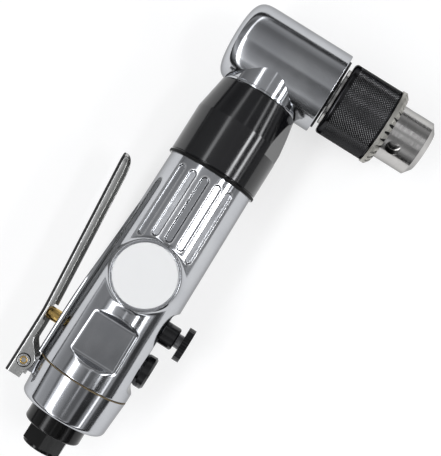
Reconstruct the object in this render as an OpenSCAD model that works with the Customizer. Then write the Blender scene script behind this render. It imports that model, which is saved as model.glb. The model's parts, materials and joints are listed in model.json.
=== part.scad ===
// Right angle air drill, lying on its side.
// The handle runs along +Y from the air inlet, and the chuck points along +X.

/* [Handle] */
// Distance from the reverse valve's axis up to the floor of the motor's bore
valve_to_motor = 14.4; // [13.8:0.1:18]
// Diameter of the housing where it meets the coupling sleeve
housing_top_d = 40.7; // [40.4:0.1:42]
// Diameter of the housing where it meets the end cap
housing_bottom_d = 43; // [42:0.1:46]
// Length of the threaded spigot on top of the housing
spigot_len = 6; // [4:0.5:8]
// Distance from the handle's axis to the face of the lever rib at the bottom
rib_reach = 23.2; // [22.6:0.1:24.5]
// Width of the lever rib
rib_w = 11; // [9.8:0.2:13]
// Number of flutes on each side of the housing
flute_count = 5; // [3:1:6]
// Angle between two flutes
flute_step = 16.5; // [15:0.5:18]
// Length of a flute, ends included
flute_len = 30; // [20:1:31]
// Radius of the flute cutter
flute_r = 2.2; // [1.8:0.1:2.4]
// Depth of a flute
flute_depth = 0.9; // [0.5:0.1:1]
// Distance between the two wrench flats of the housing
flat_across = 36.8; // [36:0.2:40]
// Length of a wrench flat
flat_len = 19; // [14:1:22]
// Length of the sloped run-out at each end of a wrench flat
flat_runout = 2.6; // [1.5:0.1:3]

/* [Nameplate] */
// Distance from the housing's top down to the nameplate's middle
plate_down = 51.8; // [50:0.2:54]
// Diameter of the nameplate disc
plate_d = 28; // [20:0.5:30]
// Thickness of the nameplate disc
plate_t = 0.4; // [0.3:0.1:1]
// Width of the raised rim round the nameplate
plate_rim = 1; // [0.8:0.1:2]
// Height of the rim's top over the handle's axis
plate_rim_z = 21.9; // [21.6:0.1:24]
// Depth of the recess that holds the nameplate
plate_recess = 0.7; // [0.5:0.1:1]

/* [End cap and inlet] */
// Length of the end cap
cap_len = 18; // [16:0.5:22]
// Radius of the end cap's lower edge
cap_edge_r = 2.5; // [1:0.5:3]
// Diameter of the end cap at its lower end
cap_bottom_d = 41; // [40:0.5:42]
// Thickness of the gasket
gasket_t = 0.5; // [0.3:0.1:1]
// Width of the inlet's hexagon across flats
hex_af = 17.6; // [17:0.1:20]
// Length of the hexagon
hex_len = 9; // [7:0.5:12]
// Length of the round rim at the inlet's mouth
mouth_rim_len = 1.4; // [1:0.1:2.5]
// Diameter of the inlet's collar
collar_d = 26.8; // [25:0.2:29]
// Length of the inlet's collar
collar_len = 8.6; // [6:0.2:12]
// Diameter of the threaded bore that takes the hose fitting
inlet_bore_d = 11.4; // [11:0.1:12]
// Length of the threaded bore
inlet_bore_len = 12; // [10:0.5:14]
// Diameter of the inlet's wide bore behind the thread
inlet_wide_d = 14; // [13:0.5:14.5]
// Diameter of the inlet's threaded tail
inlet_tail_d = 18; // [17.4:0.1:19]
// Length of the inlet's tail inside the housing
inlet_tail_grip = 7.4; // [6:0.2:8]
// Diameter of one exhaust hole in the end cap
exhaust_hole_d = 3; // [2:0.5:3.5]
// Number of exhaust holes
exhaust_count = 10; // [6:1:12]

/* [Lever] */
// Distance from the handle's axis to the lever pin's axis, across
pin_across = 25.9; // [25.6:0.1:28]
// Distance from the end cap's top down to the lever pin's axis
pin_drop = 6.1; // [6:0.1:8]
// Diameter of the hollow lever pin
pin_d = 4.4; // [3.6:0.1:5]
// Diameter of the hole through the lever pin
pin_hole_d = 2.2; // [1.5:0.1:2.6]
// Width of the lever over its side walls
lever_w = 14; // [13:0.2:16]
// Thickness of the lever's sheet
lever_t = 1.2; // [1:0.1:1.5]
// Distance from the lever pin's axis to the lever's back
lever_back = 4.7; // [4.6:0.1:6.5]
// Length of the lever above its pin
lever_len = 100; // [90:1:108]
// Angle at which the lever's long arm leans out
lever_lean = 4.6; // [3.5:0.1:6]
// Depth of the lever's side walls
lever_wall_h = 4.6; // [4:0.1:5]
// Length of the lever below its pin
lever_foot = 7.4; // [7:0.2:9]
// Radius of the lever's ears round the pin
ear_r = 4.4; // [4.2:0.1:5]

/* [Throttle valve] */
// Distance from the housing's bottom up to the throttle valve's axis
throttle_up = 16.1; // [15.4:0.1:18]
// Diameter of the throttle stem
stem_d = 5.9; // [5:0.1:6.2]
// Outer diameter of the throttle bushing
stem_bush_d = 9; // [8.4:0.1:10]
// Length of the throttle bushing
stem_bush_len = 8; // [6:0.5:9]
// Distance from the handle's axis to the valve seat
seat_x = 1; // [0:0.5:2]
// Diameter of the throttle chamber
chamber_d = 12; // [11.4:0.1:12.6]
// Diameter of the valve seat's opening
seat_d = 7.6; // [7.2:0.1:8.4]
// Thickness of the valve's rubber seal
valve_seal_t = 1.2; // [0.8:0.1:2]
// Thickness of the valve's head
valve_head_t = 2; // [1.5:0.1:3]
// Diameter of the throttle cap's flange
throttle_cap_d = 15.8; // [15:0.2:17]
// Thickness of the throttle cap's flange
throttle_cap_t = 5; // [4:0.2:6]
// Length of the throttle cap's plug
throttle_plug_len = 7; // [6:0.5:8]
// Diameter of the throttle spring
spring_d = 7.4; // [6.4:0.1:7.6]
// Diameter of the spring's wire
spring_wire = 0.9; // [0.7:0.1:1]
// Number of the spring's curls
spring_curls = 7; // [5:1:7]

/* [Reverse valve] */
// Distance from the throttle valve up to the reverse valve
reverse_up = 18.9; // [18.8:0.1:20]
// Distance from the handle's axis to the milled face that carries both valves
valve_face_x = 18.9; // [18.4:0.1:19.4]
// Diameter of the reverse bushing outside the housing
reverse_bush_d = 10.8; // [10.4:0.1:12]
// Length of the reverse bushing outside the housing
reverse_bush_len = 6.6; // [5:0.2:8]
// Diameter of the reverse bushing inside the housing
reverse_stub_d = 10; // [9.6:0.1:10.2]
// Length of the reverse bushing inside the housing
reverse_stub_len = 32; // [31:0.5:34]
// Diameter of the reverse spool
spool_d = 6.6; // [6:0.1:7]
// Length of the spool's bare neck under the knob
neck_len = 2.5; // [1.5:0.1:4]
// Diameter of the reverse knob
knob_d = 16.1; // [15:0.5:18]
// Thickness of the reverse knob
knob_t = 3.2; // [2.8:0.1:4]
// Number of grooves round the reverse knob
knob_grooves = 40; // [30:1:44]

/* [Coupling sleeve] */
// Length of the coupling sleeve
sleeve_len = 40.1; // [39.9:0.1:46]
// Diameter of the sleeve's cylinder
sleeve_d = 42.7; // [42.4:0.1:45]
// Length of the sleeve's cylinder, below its cone
sleeve_straight = 24; // [22:0.5:27]
// Diameter at the top of the sleeve's cone
sleeve_top_d = 37.2; // [36.4:0.2:38]
// Distance from the handle's axis to the sleeve's wrench flats
sleeve_flat = 19.2; // [18.9:0.1:20]
// Length of the sleeve below its wrench flats
sleeve_flat_start = 19; // [16:0.5:24]
// Angle of the wrench flats round the handle
sleeve_flat_turn = 18; // [0:1:90]
// Width of the groove near the sleeve's lower edge
groove_w = 0.7; // [0.4:0.1:1.5]
// Length of the sleeve below that groove
groove_up = 1.4; // [1:0.1:3]

/* [Angle head] */
// Gap between the sleeve's top and the head's barrel
head_gap = 0.25; // [0.2:0.05:2]
// Diameter of the head's barrel
head_d = 38.3; // [37.8:0.1:42]
// Distance from the handle's axis to the head's front face
head_front = 25.5; // [25:0.1:28]
// Distance from the handle's axis to the head's back
head_back = 23.8; // [23.6:0.1:27]
// Radius of the head's rounded back edge
head_edge_r = 8; // [4:0.5:9]
// Diameter of the head's neck
neck_d = 34.6; // [33:0.2:35.2]
// Diameter of the lip at the foot of the neck
lip_d = 35.8; // [35.2:0.2:36]
// Length of that lip
lip_len = 1.3; // [0.8:0.1:2]
// Diameter of the head's spigot inside the sleeve
head_spigot_d = 26; // [25:0.5:28]
// Length of the head's spigot
head_spigot_len = 9.4; // [7:0.2:9.6]

/* [Chuck] */
// Gap between the head's front ring and the chuck
chuck_gap = 0.7; // [0.5:0.1:2]
// Length of the chuck body
chuck_len = 46.7; // [46:0.1:52]
// Diameter of the chuck body's bright nose
nose_d = 26; // [25.6:0.1:27]
// Length of the bright nose that stands out of the gear ring
nose_len = 17.9; // [17:0.1:20]
// Length of the nose's end chamfer
nose_chamfer = 2.6; // [1:0.1:3]
// Depth of the nose's end chamfer, across
nose_chamfer_in = 3.5; // [2:0.1:4.2]
// Length of the chuck body's rear collar
rear_collar_len = 1.1; // [0.8:0.1:2]
// Diameter of the knurled sleeve
knurl_d = 34.8; // [34.4:0.1:38]
// Rounding of the knurled sleeve's rear edge
knurl_edge_r = 1.6; // [0.5:0.1:2]
// Diameter of the gear ring
gear_ring_d = 36; // [35.2:0.1:40]
// Length of the gear ring
gear_ring_len = 3.6; // [3:0.1:5]
// Number of teeth on the gear ring
gear_ring_teeth = 30; // [24:1:36]
// Depth of the gear ring's teeth
gear_ring_tooth = 1.7; // [1:0.1:2]
// Diameter of a key hole
key_hole_d = 6.6; // [6:0.1:7]
// Distance from the gear ring to the middle of a key hole
key_hole_out = 4.9; // [4.6:0.1:7]
// Depth at which a key hole ends, as a distance from the chuck's axis
key_hole_floor = 7.6; // [7.5:0.1:9]
// Turn of the first key hole away from straight up
key_turn = 98; // [0:1:119]
// Diameter of a jaw
jaw_d = 7.2; // [6.8:0.1:7.4]
// Length of a jaw
jaw_len = 20; // [16:0.5:21]
// Angle between a jaw and the chuck's axis
jaw_tilt = 15; // [14:0.5:16]
// Largest drill bit that the open jaws take
chuck_capacity = 10; // [8:0.5:10]
// Smallest drill bit that the closed jaws hold
chuck_smallest = 1; // [0.8:0.1:2]

/* [Motor] */
// Diameter of the motor bore in the housing
motor_bore_d = 34; // [33.6:0.1:34.2]
// Thickness of the rear end plate
rear_plate_t = 8; // [7.5:0.1:9]
// Length of the cylinder liner
liner_len = 44; // [36:0.5:44]
// Thickness of the front end plate
front_plate_t = 9; // [8:0.1:10]
// Diameter of the liner's bore
liner_bore_d = 26; // [25:0.2:27]
// Distance between the liner's bore and the rotor's axis
liner_offset = 1.4; // [1:0.1:1.8]
// Diameter of the rotor
rotor_d = 22.8; // [20:0.2:22.8]
// Number of vanes
vane_count = 5; // [4:1:6]
// Thickness of a vane
vane_t = 1.7; // [1.4:0.1:2]
// Depth of a vane
vane_h = 4.6; // [4:0.1:5]
// Diameter of the liner dowel
dowel_d = 2; // [1.5:0.1:2.4]

/* [Gears] */
// Module of the planet gears
gear_module = 0.7; // [0.66:0.01:0.7]
// Width of a planet gear
planet_w = 9; // [7:0.5:9.5]
// Diameter of a planet pin
planet_pin_d = 4; // [3.5:0.1:4.5]
// Length of the ring gear
ring_gear_len = 14; // [12.4:0.2:14.2]
// Thickness of the planet carrier's plate
carrier_t = 5; // [4:0.2:5.6]
// Module of the bevel gears at their outer end
bevel_module = 1.15; // [1.05:0.01:1.18]
// Width of the bevel gears' teeth
bevel_w = 4.9; // [4:0.1:5]

/* [Bearings] */
// Outer diameter of the small ball bearings
small_od = 19; // [18:0.5:20]
// Bore of the rotor's and the pinion's bearings
small_bore = 8; // [7.8:0.1:8.4]
// Width of the small ball bearings
small_w = 6; // [5:0.5:6.5]
// Outer diameter of the carrier bearing
carrier_bearing_od = 24; // [22:0.5:25]
// Bore of the carrier bearing
carrier_bearing_bore = 12; // [11.6:0.1:13]
// Outer diameter of the front spindle bearing
spindle_bearing_od = 28; // [27.6:0.1:29]
// Bore of the front spindle bearing
spindle_d = 12; // [11.6:0.1:12.2]
// Width of the front spindle bearing
spindle_bearing_w = 8; // [7:0.5:8]

/* [Fits] */
// Radial gap between pieces that are fitted together
fit_gap = 0.03; // [0.02:0.01:0.06]
// Radial gap between a shaft and the piece it turns or slides in
run_gap = 0.05; // [0.03:0.01:0.09]
// Gap between the faces of pieces that move past each other
face_gap = 0.3; // [0.2:0.05:0.5]

/* [Hidden] */
$fn = 96;
eps = 0.01;
far = 200;

// Places along the handle
collar_y = hex_len;
cap_y = collar_y + collar_len;
gasket_y = cap_y + cap_len;
housing_y = gasket_y + gasket_t;
throttle_y = housing_y + throttle_up;
reverse_y = throttle_y + reverse_up;
motor_floor_y = reverse_y + valve_to_motor;
liner_y = motor_floor_y + rear_plate_t;
front_plate_y = liner_y + liner_len;
spigot_y = front_plate_y + front_plate_t;
sleeve_y = spigot_y - spigot_len;
housing_len = sleeve_y - housing_y;
head_y = sleeve_y + sleeve_len;
axis_y = head_y + head_gap + head_d / 2;
plate_y = sleeve_y - plate_down;
flat_y = housing_y + 10.4;
flute_top_y = sleeve_y - 5;
rib_top_y = flute_top_y - 14;
rib_bend_y = throttle_y + 4;
valve_face_y = throttle_y - 11.6;
valve_face_end_y = reverse_y + 10.5;
pin_y = gasket_y - pin_drop;

// Motor and gears
motor_r = motor_bore_d / 2 - fit_gap;
spigot_r = motor_bore_d / 2 + 1.9;
sun_teeth = 9;
planet_teeth = 18;
ring_teeth = sun_teeth + 2 * planet_teeth;
planet_count = 3;
orbit_r = gear_module * (sun_teeth + planet_teeth) / 2;
gear_backlash = 0.12;
ring_gear_r = gear_module * ring_teeth / 2 + 2.65;
planet_y = spigot_y + 2.3;
carrier_y = planet_y + planet_w + 0.8;
sun_len = planet_w + 2.4;
carrier_bearing_y = carrier_y + carrier_t + 1;
ring_shoulder_y = spigot_y + ring_gear_len + fit_gap;
sleeve_bore_r = ring_gear_r + fit_gap;
carrier_hub_r = carrier_bearing_bore / 2 - run_gap;
head_spigot_y = head_y - head_spigot_len;
pinion_bearing_y = head_spigot_y + 2;
pinion_shaft_r = small_bore / 2 - run_gap;

// Bevel gears, whose cones meet where the two axes cross
pinion_teeth = 12;
bevel_teeth = 21;
pinion_cone = atan(pinion_teeth / bevel_teeth);
bevel_cone = 90 - pinion_cone;
cone_len = bevel_module * bevel_teeth / 2 / sin(bevel_cone);
gear_back_x = cone_len * cos(bevel_cone) + 1.6;

// Places along the chuck's axis, counted from the handle's axis
head_bore_r = spindle_bearing_od / 2 + fit_gap;
rear_bearing_x = -gear_back_x - 4.4;
front_ring_len = 5.5;
front_ring_x = head_front - front_ring_len;
front_ring_lip = 1;
front_bearing_x = front_ring_x - spindle_bearing_w - 0.5;
chuck_x = head_front + front_ring_lip + chuck_gap;
chuck_end_x = chuck_x + chuck_len;
ring_end_x = chuck_end_x - nose_len;
gear_ring_x = ring_end_x - gear_ring_len;
chuck_sleeve_x = chuck_x + rear_collar_len + 0.1;
core_r = nose_d / 2;
sleeve_hole_r = core_r + run_gap;
nut_r = knurl_d / 2 - 1.4;
nut_len = 6;
nut_x = gear_ring_x - 2.3 - nut_len;
stub_x = 14;
collar_r = 8.5;

// Jaws, shown open
bit_r = chuck_capacity / 2;
jaw_r = jaw_d / 2;
jaw_travel = (chuck_capacity - chuck_smallest) / 2 / sin(jaw_tilt);
jaw_start_x = chuck_end_x + 0.6;
jaw_start_r = 1.6;
jaw_bore_r = jaw_r + run_gap;
nut_gap = 0.25;

// Turns a shape built along +Z so that it runs along the handle
module along_y(y = 0) {
  translate([0, y, 0])
    rotate([-90, 0, 0])
      children();
}

// Turns a shape built along +Z so that it runs along the chuck's axis, at a height y
module along_x(x = 0, y = axis_y) {
  translate([x, y, 0])
    rotate([0, 90, 0])
      children();
}

module tube(r_out, r_in, h) {
  difference() {
    cylinder(r = r_out, h = h);
    translate([0, 0, -eps])
      cylinder(r = r_in, h = h + 2 * eps);
  }
}

// Ring with a round section
module oring(ring_r, wire_r) {
  rotate_extrude()
    translate([ring_r, 0])
      circle(r = wire_r, $fn = 24);
}

// Ball bearing with its two races and its balls, from z = 0 up
module ball_bearing(od, bore, w, balls) {
  mid_r = (od + bore) / 4;
  ball_r = (od - bore) * 0.14;
  race = (od - bore) * 0.13;
  difference() {
    tube(od / 2 - fit_gap, od / 2 - race, w);
    translate([0, 0, w / 2])
      oring(mid_r, ball_r + 0.05);
  }
  difference() {
    tube(bore / 2 + race, bore / 2, w);
    translate([0, 0, w / 2])
      oring(mid_r, ball_r + 0.05);
  }
  for (i = [0 : balls - 1])
    rotate([0, 0, i * 360 / balls])
      translate([mid_r, 0, w / 2])
        sphere(r = ball_r, $fn = 24);
}

// Involute angle in degrees for a pressure angle a
function involute(a) = tan(a) * 180 / PI - a;

// Half the angle that a tooth takes at radius r, with the pitch radius p
function tooth_half(r, p, teeth, slack) =
  90 / teeth - slack * 90 / (PI * p) + involute(pressure)
  - involute(acos(min(1, p * cos(pressure) / r)));
pressure = 25;
tooth_top = 0.8;
tooth_root = 1.02;

// Radii at which a tooth's flank is drawn, from root to tip
function flank_radii(p, m, top, root) =
  [for (i = [0 : 4]) p - root * m + i * (top + root) * m / 4];

// Outline of a spur gear with a tooth on the +X axis
function gear_outline(teeth, m, slack, top = tooth_top, root = tooth_root) =
  let (p = teeth * m / 2, radii = flank_radii(p, m, top, root))
  [for (k = [0 : teeth - 1], side = [-1, 1], i = [0 : 4])
    let (r = side < 0 ? radii[i] : radii[4 - i],
      a = k * 360 / teeth + side * tooth_half(r, p, teeth, slack))
    [r * cos(a), r * sin(a)]];

// Bevel gear with its cone's point at the origin, widening along +Z
module bevel_teeth_solid(teeth, cone, w) {
  p = bevel_module * teeth / 2;
  back_r = p / cos(cone);
  back_teeth = teeth / cos(cone);
  radii = flank_radii(back_r, bevel_module, tooth_top, tooth_root);
  shrink = (cone_len - w) / cone_len;
  outer = [for (k = [0 : teeth - 1], side = [-1, 1], i = [0 : 4])
    let (r = side < 0 ? radii[i] : radii[4 - i],
      a = k * 360 / teeth + side * tooth_half(r, back_r, back_teeth, gear_backlash) / cos(cone))
    [r * cos(cone) * cos(a), r * cos(cone) * sin(a), cone_len / cos(cone) - r * sin(cone)]];
  inner = outer * shrink;
  n = len(outer);
  root_z = outer[0][2];
  points = concat(outer, inner, [[0, 0, root_z], [0, 0, root_z * shrink]]);
  sides = [for (i = [0 : n - 1]) [i, (i + 1) % n, n + (i + 1) % n, n + i]];
  big_end = [for (i = [0 : n - 1]) [2 * n, (i + 1) % n, i]];
  small_end = [for (i = [0 : n - 1]) [2 * n + 1, n + i, n + (i + 1) % n]];
  polyhedron(points = points, faces = concat(sides, big_end, small_end));
}

// Radius of the housing's outside at a place along the handle
function housing_r(y) =
  housing_bottom_d / 2 + (housing_top_d - housing_bottom_d) / 2 * (y - housing_y) / housing_len;

// Outside of the housing: a tapered barrel, the lever rib and the nameplate boss
module housing_outside() {
  along_y(housing_y)
    cylinder(r1 = housing_bottom_d / 2, r2 = housing_top_d / 2, h = housing_len);
  along_y(sleeve_y - eps)
    cylinder(r = spigot_r, h = spigot_len + eps);
  translate([0, 0, -rib_w / 2])
    linear_extrude(rib_w)
      polygon([
        [-rib_reach, housing_y],
        [-rib_reach, rib_bend_y],
        [-housing_r(rib_top_y) + 0.6, rib_top_y],
        [-motor_bore_d / 4, rib_top_y],
        [-motor_bore_d / 4, housing_y]
      ]);
  translate([0, plate_y, 0])
    cylinder(r = plate_d / 2 + plate_rim + fit_gap, h = plate_rim_z);
}

// Milled face that carries both valves, with rounded ends
module valve_face_cut() {
  end_r = 3;
  translate([valve_face_x, valve_face_y + end_r, -far / 2])
    cube([far, valve_face_end_y - valve_face_y - 2 * end_r, far]);
  for (y = [valve_face_y + end_r, valve_face_end_y - end_r])
    translate([valve_face_x + end_r, y, -far / 2])
      cylinder(r = end_r, h = far);
  translate([valve_face_x + end_r, valve_face_y, -far / 2])
    cube([far, valve_face_end_y - valve_face_y, far]);
}

// Wrench flat on the +Z side, with sloped ends
module wrench_flat_cut() {
  rise = housing_bottom_d / 2 + 3 - flat_across / 2;
  run = flat_runout * rise / (housing_bottom_d / 2 - flat_across / 2);
  translate([-far / 2, 0, 0])
    rotate([90, 0, 90])
      linear_extrude(far)
        polygon([
          [flat_y, flat_across / 2],
          [flat_y + flat_len, flat_across / 2],
          [flat_y + flat_len + run, flat_across / 2 + rise],
          [flat_y - run, flat_across / 2 + rise]
        ]);
}

module flute_cuts() {
  for (side = [0, 180], i = [0 : flute_count - 1]) {
    turn = side + (i - (flute_count - 1) / 2) * flute_step;
    rotate([0, turn, 0])
      translate([0, 0, housing_r(flute_top_y) + flute_r - flute_depth]) {
        along_y(flute_top_y - flute_len + flute_r)
          cylinder(r = flute_r, h = flute_len - 2 * flute_r);
        for (y = [flute_top_y - flute_len + flute_r, flute_top_y - flute_r])
          translate([0, y, 0])
            sphere(r = flute_r);
      }
  }
}

// Air ways inside the housing
module housing_passages() {
  way_r = 1.8;
  along_y(motor_floor_y)
    cylinder(r = motor_bore_d / 2, h = far);
  along_y(housing_y - eps)
    cylinder(r = inlet_tail_d / 2 + fit_gap, h = inlet_tail_grip + 1);
  translate([seat_x + 3.6, 0, 0])
    along_y(housing_y)
      cylinder(r = 2.3, h = throttle_up);
  along_x(seat_x, throttle_y)
    cylinder(r = chamber_d / 2, h = far);
  along_x(stem_bush_len - rib_reach - eps, throttle_y)
    cylinder(r = seat_d / 2, h = far);
  along_x(-rib_reach - 1, throttle_y)
    cylinder(r = stem_bush_d / 2 + fit_gap, h = stem_bush_len + 1);
  translate([seat_x - 6, 0, 0])
    along_y(throttle_y)
      cylinder(r = 2.1, h = reverse_up);
  along_x(valve_face_x - reverse_stub_len, reverse_y)
    cylinder(r = reverse_stub_d / 2 + fit_gap, h = far);
  for (side = [-1, 1])
    translate([side * 11.6, 0, 0])
      along_y(reverse_y)
        cylinder(r = way_r, h = motor_floor_y - reverse_y + eps);
  for (side = [-1, 1])
    translate([side * 4, 0, 14.8])
      along_y(housing_y - eps)
        cylinder(r = 1.5, h = motor_floor_y - housing_y + 2 * eps);
  translate([0, 0, dowel_z])
    along_y(motor_floor_y - 2)
      cylinder(r = dowel_d / 2 + fit_gap, h = 3);
}
dowel_z = -(motor_bore_d / 2 - 2.7);

module motor_housing() {
  color("silver")
    difference() {
      housing_outside();
      housing_passages();
      valve_face_cut();
      wrench_flat_cut();
      mirror([0, 0, 1])
        wrench_flat_cut();
      flute_cuts();
      translate([0, plate_y, plate_rim_z - plate_recess])
        cylinder(r = plate_d / 2 + fit_gap, h = far);
    }
}

module nameplate() {
  color("white")
    translate([0, plate_y, plate_rim_z - plate_recess])
      cylinder(r = plate_d / 2, h = plate_t);
}

module end_cap() {
  top_r = housing_bottom_d / 2;
  bottom_r = cap_bottom_d / 2;
  color("silver")
    difference() {
      union() {
        along_y(cap_y)
          rotate_extrude()
            union() {
              polygon([
                [0, 0],
                [bottom_r - cap_edge_r, 0],
                [bottom_r - cap_edge_r, cap_edge_r],
                [bottom_r, cap_edge_r],
                [top_r, cap_len],
                [0, cap_len]
              ]);
              translate([bottom_r - cap_edge_r, cap_edge_r])
                circle(r = cap_edge_r);
            }
        lever_lug();
      }
      along_y(cap_y - 1)
        cylinder(r = inlet_tail_d / 2 + fit_gap, h = cap_len + 2);
      along_y(cap_y + 4)
        tube(top_r - 4, inlet_tail_d / 2 + 2, cap_len);
      for (i = [0 : exhaust_count - 1])
        rotate([0, i * 360 / exhaust_count, 0])
          translate([(collar_d + cap_bottom_d - 2 * cap_edge_r) / 4, 0, 0])
            along_y(cap_y - 1)
              cylinder(r = exhaust_hole_d / 2, h = 6);
      translate([-pin_across, pin_y, -far / 2])
        cylinder(r = pin_d / 2 + fit_gap, h = far);
    }
}

// Lug on the end cap between the lever's ears
lug_half = lever_w / 2 - lever_t - face_gap;
lug_r = lever_back - lever_t - 0.3;
module lever_lug() {
  translate([-pin_across, pin_y, -lug_half])
    cylinder(r = lug_r, h = 2 * lug_half);
  translate([-pin_across, pin_y - lug_r, -lug_half])
    cube([pin_across - cap_bottom_d / 2 + 3, 2 * lug_r, 2 * lug_half]);
}

module cap_gasket() {
  color("peru")
    along_y(gasket_y)
      difference() {
        tube(housing_bottom_d / 2 - 0.1, inlet_tail_d / 2 + fit_gap, gasket_t);
        for (side = [-1, 1])
          translate([side * 4, -14.8, -1])
            cylinder(r = 1.7, h = 3);
      }
}

module air_inlet() {
  tail_len = cap_len + gasket_t + inlet_tail_grip;
  collar_edge = 1;
  color("#1c1c1e")
    along_y()
      difference() {
        union() {
          translate([0, 0, mouth_rim_len - eps])
            rotate([0, 0, 30])
              cylinder(r = hex_af / sqrt(3), h = hex_len - mouth_rim_len + 2 * eps, $fn = 6);
          cylinder(r = hex_af / 2, h = mouth_rim_len);
          translate([0, 0, hex_len])
            rotate_extrude()
              union() {
                polygon([
                  [0, 0],
                  [collar_d / 2 - collar_edge, 0],
                  [collar_d / 2 - collar_edge, collar_edge],
                  [collar_d / 2, collar_edge],
                  [collar_d / 2, collar_len],
                  [0, collar_len]
                ]);
                translate([collar_d / 2 - collar_edge, collar_edge])
                  circle(r = collar_edge);
              }
          translate([0, 0, cap_y - eps])
            cylinder(r = inlet_tail_d / 2, h = tail_len);
        }
        translate([0, 0, -eps])
          cylinder(r = inlet_bore_d / 2, h = far);
        translate([0, 0, inlet_bore_len])
          cylinder(r = inlet_wide_d / 2, h = far);
      }
}

module inlet_screen() {
  holes = 6;
  color("gray")
    along_y(inlet_bore_len)
      difference() {
        cylinder(r = inlet_wide_d / 2 - fit_gap, h = 0.6);
        for (ring = [1, 2], i = [0 : holes * ring - 1])
          rotate([0, 0, i * 360 / (holes * ring)])
            translate([ring * 2.1, 0, -1])
              cylinder(r = 0.65, h = 3, $fn = 16);
      }
}

module exhaust_muffler() {
  color("dimgray")
    along_y(cap_y + 4.2)
      tube(housing_bottom_d / 2 - 4.2, inlet_tail_d / 2 + 2.2, cap_len - 4.4);
}

module lever_pin() {
  color("goldenrod")
    translate([-pin_across, pin_y, -lever_w / 2 - 0.1])
      tube(pin_d / 2, pin_hole_d / 2, lever_w + 0.2);
}

// Side view of the lever, from its foot to its tip
lever_back_x = -pin_across - lever_back;
bend_y = throttle_y;
tip_x = lever_back_x - (pin_y + lever_len - bend_y) * tan(lever_lean);
tip_y = pin_y + lever_len;
module lever_side() {
  tip_r = 1.9;
  difference() {
    union() {
      polygon([
        [-pin_across + ear_r * 0.6, pin_y - lever_foot],
        [-pin_across + ear_r * 0.6, pin_y - ear_r * 0.75],
        [-pin_across + ear_r - 0.2, pin_y],
        [-pin_across + ear_r, pin_y + 2],
        [lever_back_x + lever_wall_h, pin_y + ear_r + 6],
        [lever_back_x + lever_wall_h, bend_y],
        [tip_x + lever_wall_h + 0.6, tip_y - 9],
        [tip_x + 2 * tip_r, tip_y - tip_r],
        [tip_x + tip_r, tip_y - 0.3 * tip_r],
        [tip_x, tip_y - tip_r],
        [lever_back_x, bend_y],
        [lever_back_x, pin_y - lever_foot]
      ]);
      translate([-pin_across, pin_y])
        circle(r = ear_r);
      translate([tip_x + tip_r, tip_y - tip_r])
        circle(r = tip_r - 0.1);
    }
    translate([lever_back_x + lever_t, throttle_y - stem_d / 2 - 0.6])
      square([far, stem_d + 1.2]);
  }
}

module throttle_lever() {
  color("gainsboro")
    difference() {
      translate([0, 0, -lever_w / 2])
        linear_extrude(lever_w)
          lever_side();
      translate([0, 0, -lever_w / 2 + lever_t])
        linear_extrude(lever_w - 2 * lever_t)
          polygon([
            [lever_back_x + lever_t, pin_y - lever_foot + lever_t],
            [lever_back_x + lever_t, bend_y],
            [tip_x + lever_t, tip_y],
            [tip_x + far, tip_y + far],
            [far, pin_y - lever_foot + lever_t]
          ]);
      translate([-pin_across, pin_y, -far / 2])
        cylinder(r = pin_d / 2 + run_gap, h = far);
    }
}

// Throttle valve
stem_end_x = lever_back_x + lever_t + 0.15;
valve_x = seat_x + 0.1;
module throttle_bushing() {
  color("darkgoldenrod")
    along_x(-rib_reach, throttle_y)
      difference() {
        tube(stem_bush_d / 2, stem_d / 2 + run_gap, stem_bush_len);
        translate([0, 0, stem_bush_len - 2.2])
          tube(stem_d / 2 + 1.1, stem_d / 2 - 1, 1.4);
      }
}

module stem_oring() {
  color("#202020")
    along_x(stem_bush_len - rib_reach - 1.5, throttle_y)
      oring(stem_d / 2 + 0.6, 0.45);
}

module throttle_stem() {
  thin_r = stem_d / 2 - 1.2;
  tip_round = 0.8;
  color("goldenrod")
    along_x(stem_end_x, throttle_y) {
      translate([0, 0, tip_round])
        cylinder(r = stem_d / 2, h = stem_bush_len - rib_reach - stem_end_x + 3 - tip_round);
      cylinder(r1 = stem_d / 2 - tip_round, r2 = stem_d / 2, h = tip_round + eps);
      cylinder(r = thin_r, h = valve_x + valve_seal_t + valve_head_t - stem_end_x);
      translate([0, 0, valve_x + valve_seal_t - stem_end_x])
        cylinder(r = seat_d / 2 + 1.1, h = valve_head_t);
    }
}

module throttle_valve_seal() {
  color("#202020")
    along_x(valve_x, throttle_y)
      tube(seat_d / 2 + 1.1, stem_d / 2 - 1.2 + fit_gap, valve_seal_t);
}

// Closed tube along a list of points that run mainly along +Z
module swept_tube(path, r, sides) {
  n = len(path);
  frames = [for (i = [0 : n - 1])
    let (d = path[min(n - 1, i + 1)] - path[max(0, i - 1)],
      t = d / norm(d),
      u = cross([0, 0, 1], t) / norm(cross([0, 0, 1], t)),
      v = cross(t, u))
    [for (k = [0 : sides - 1])
      path[i] + r * cos(k * 360 / sides) * u + r * sin(k * 360 / sides) * v]];
  points = [for (f = frames) each f];
  walls = [for (i = [0 : n - 2], k = [0 : sides - 1])
    let (a = i * sides + k, b = i * sides + (k + 1) % sides)
    each [[a, a + sides, b], [b, a + sides, b + sides]]];
  start_face = [for (k = [1 : sides - 2]) [0, k, k + 1]];
  last = (n - 1) * sides;
  end_face = [for (k = [1 : sides - 2]) [last, last + k + 1, last + k]];
  polyhedron(points = points, faces = concat(walls, start_face, end_face));
}

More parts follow.
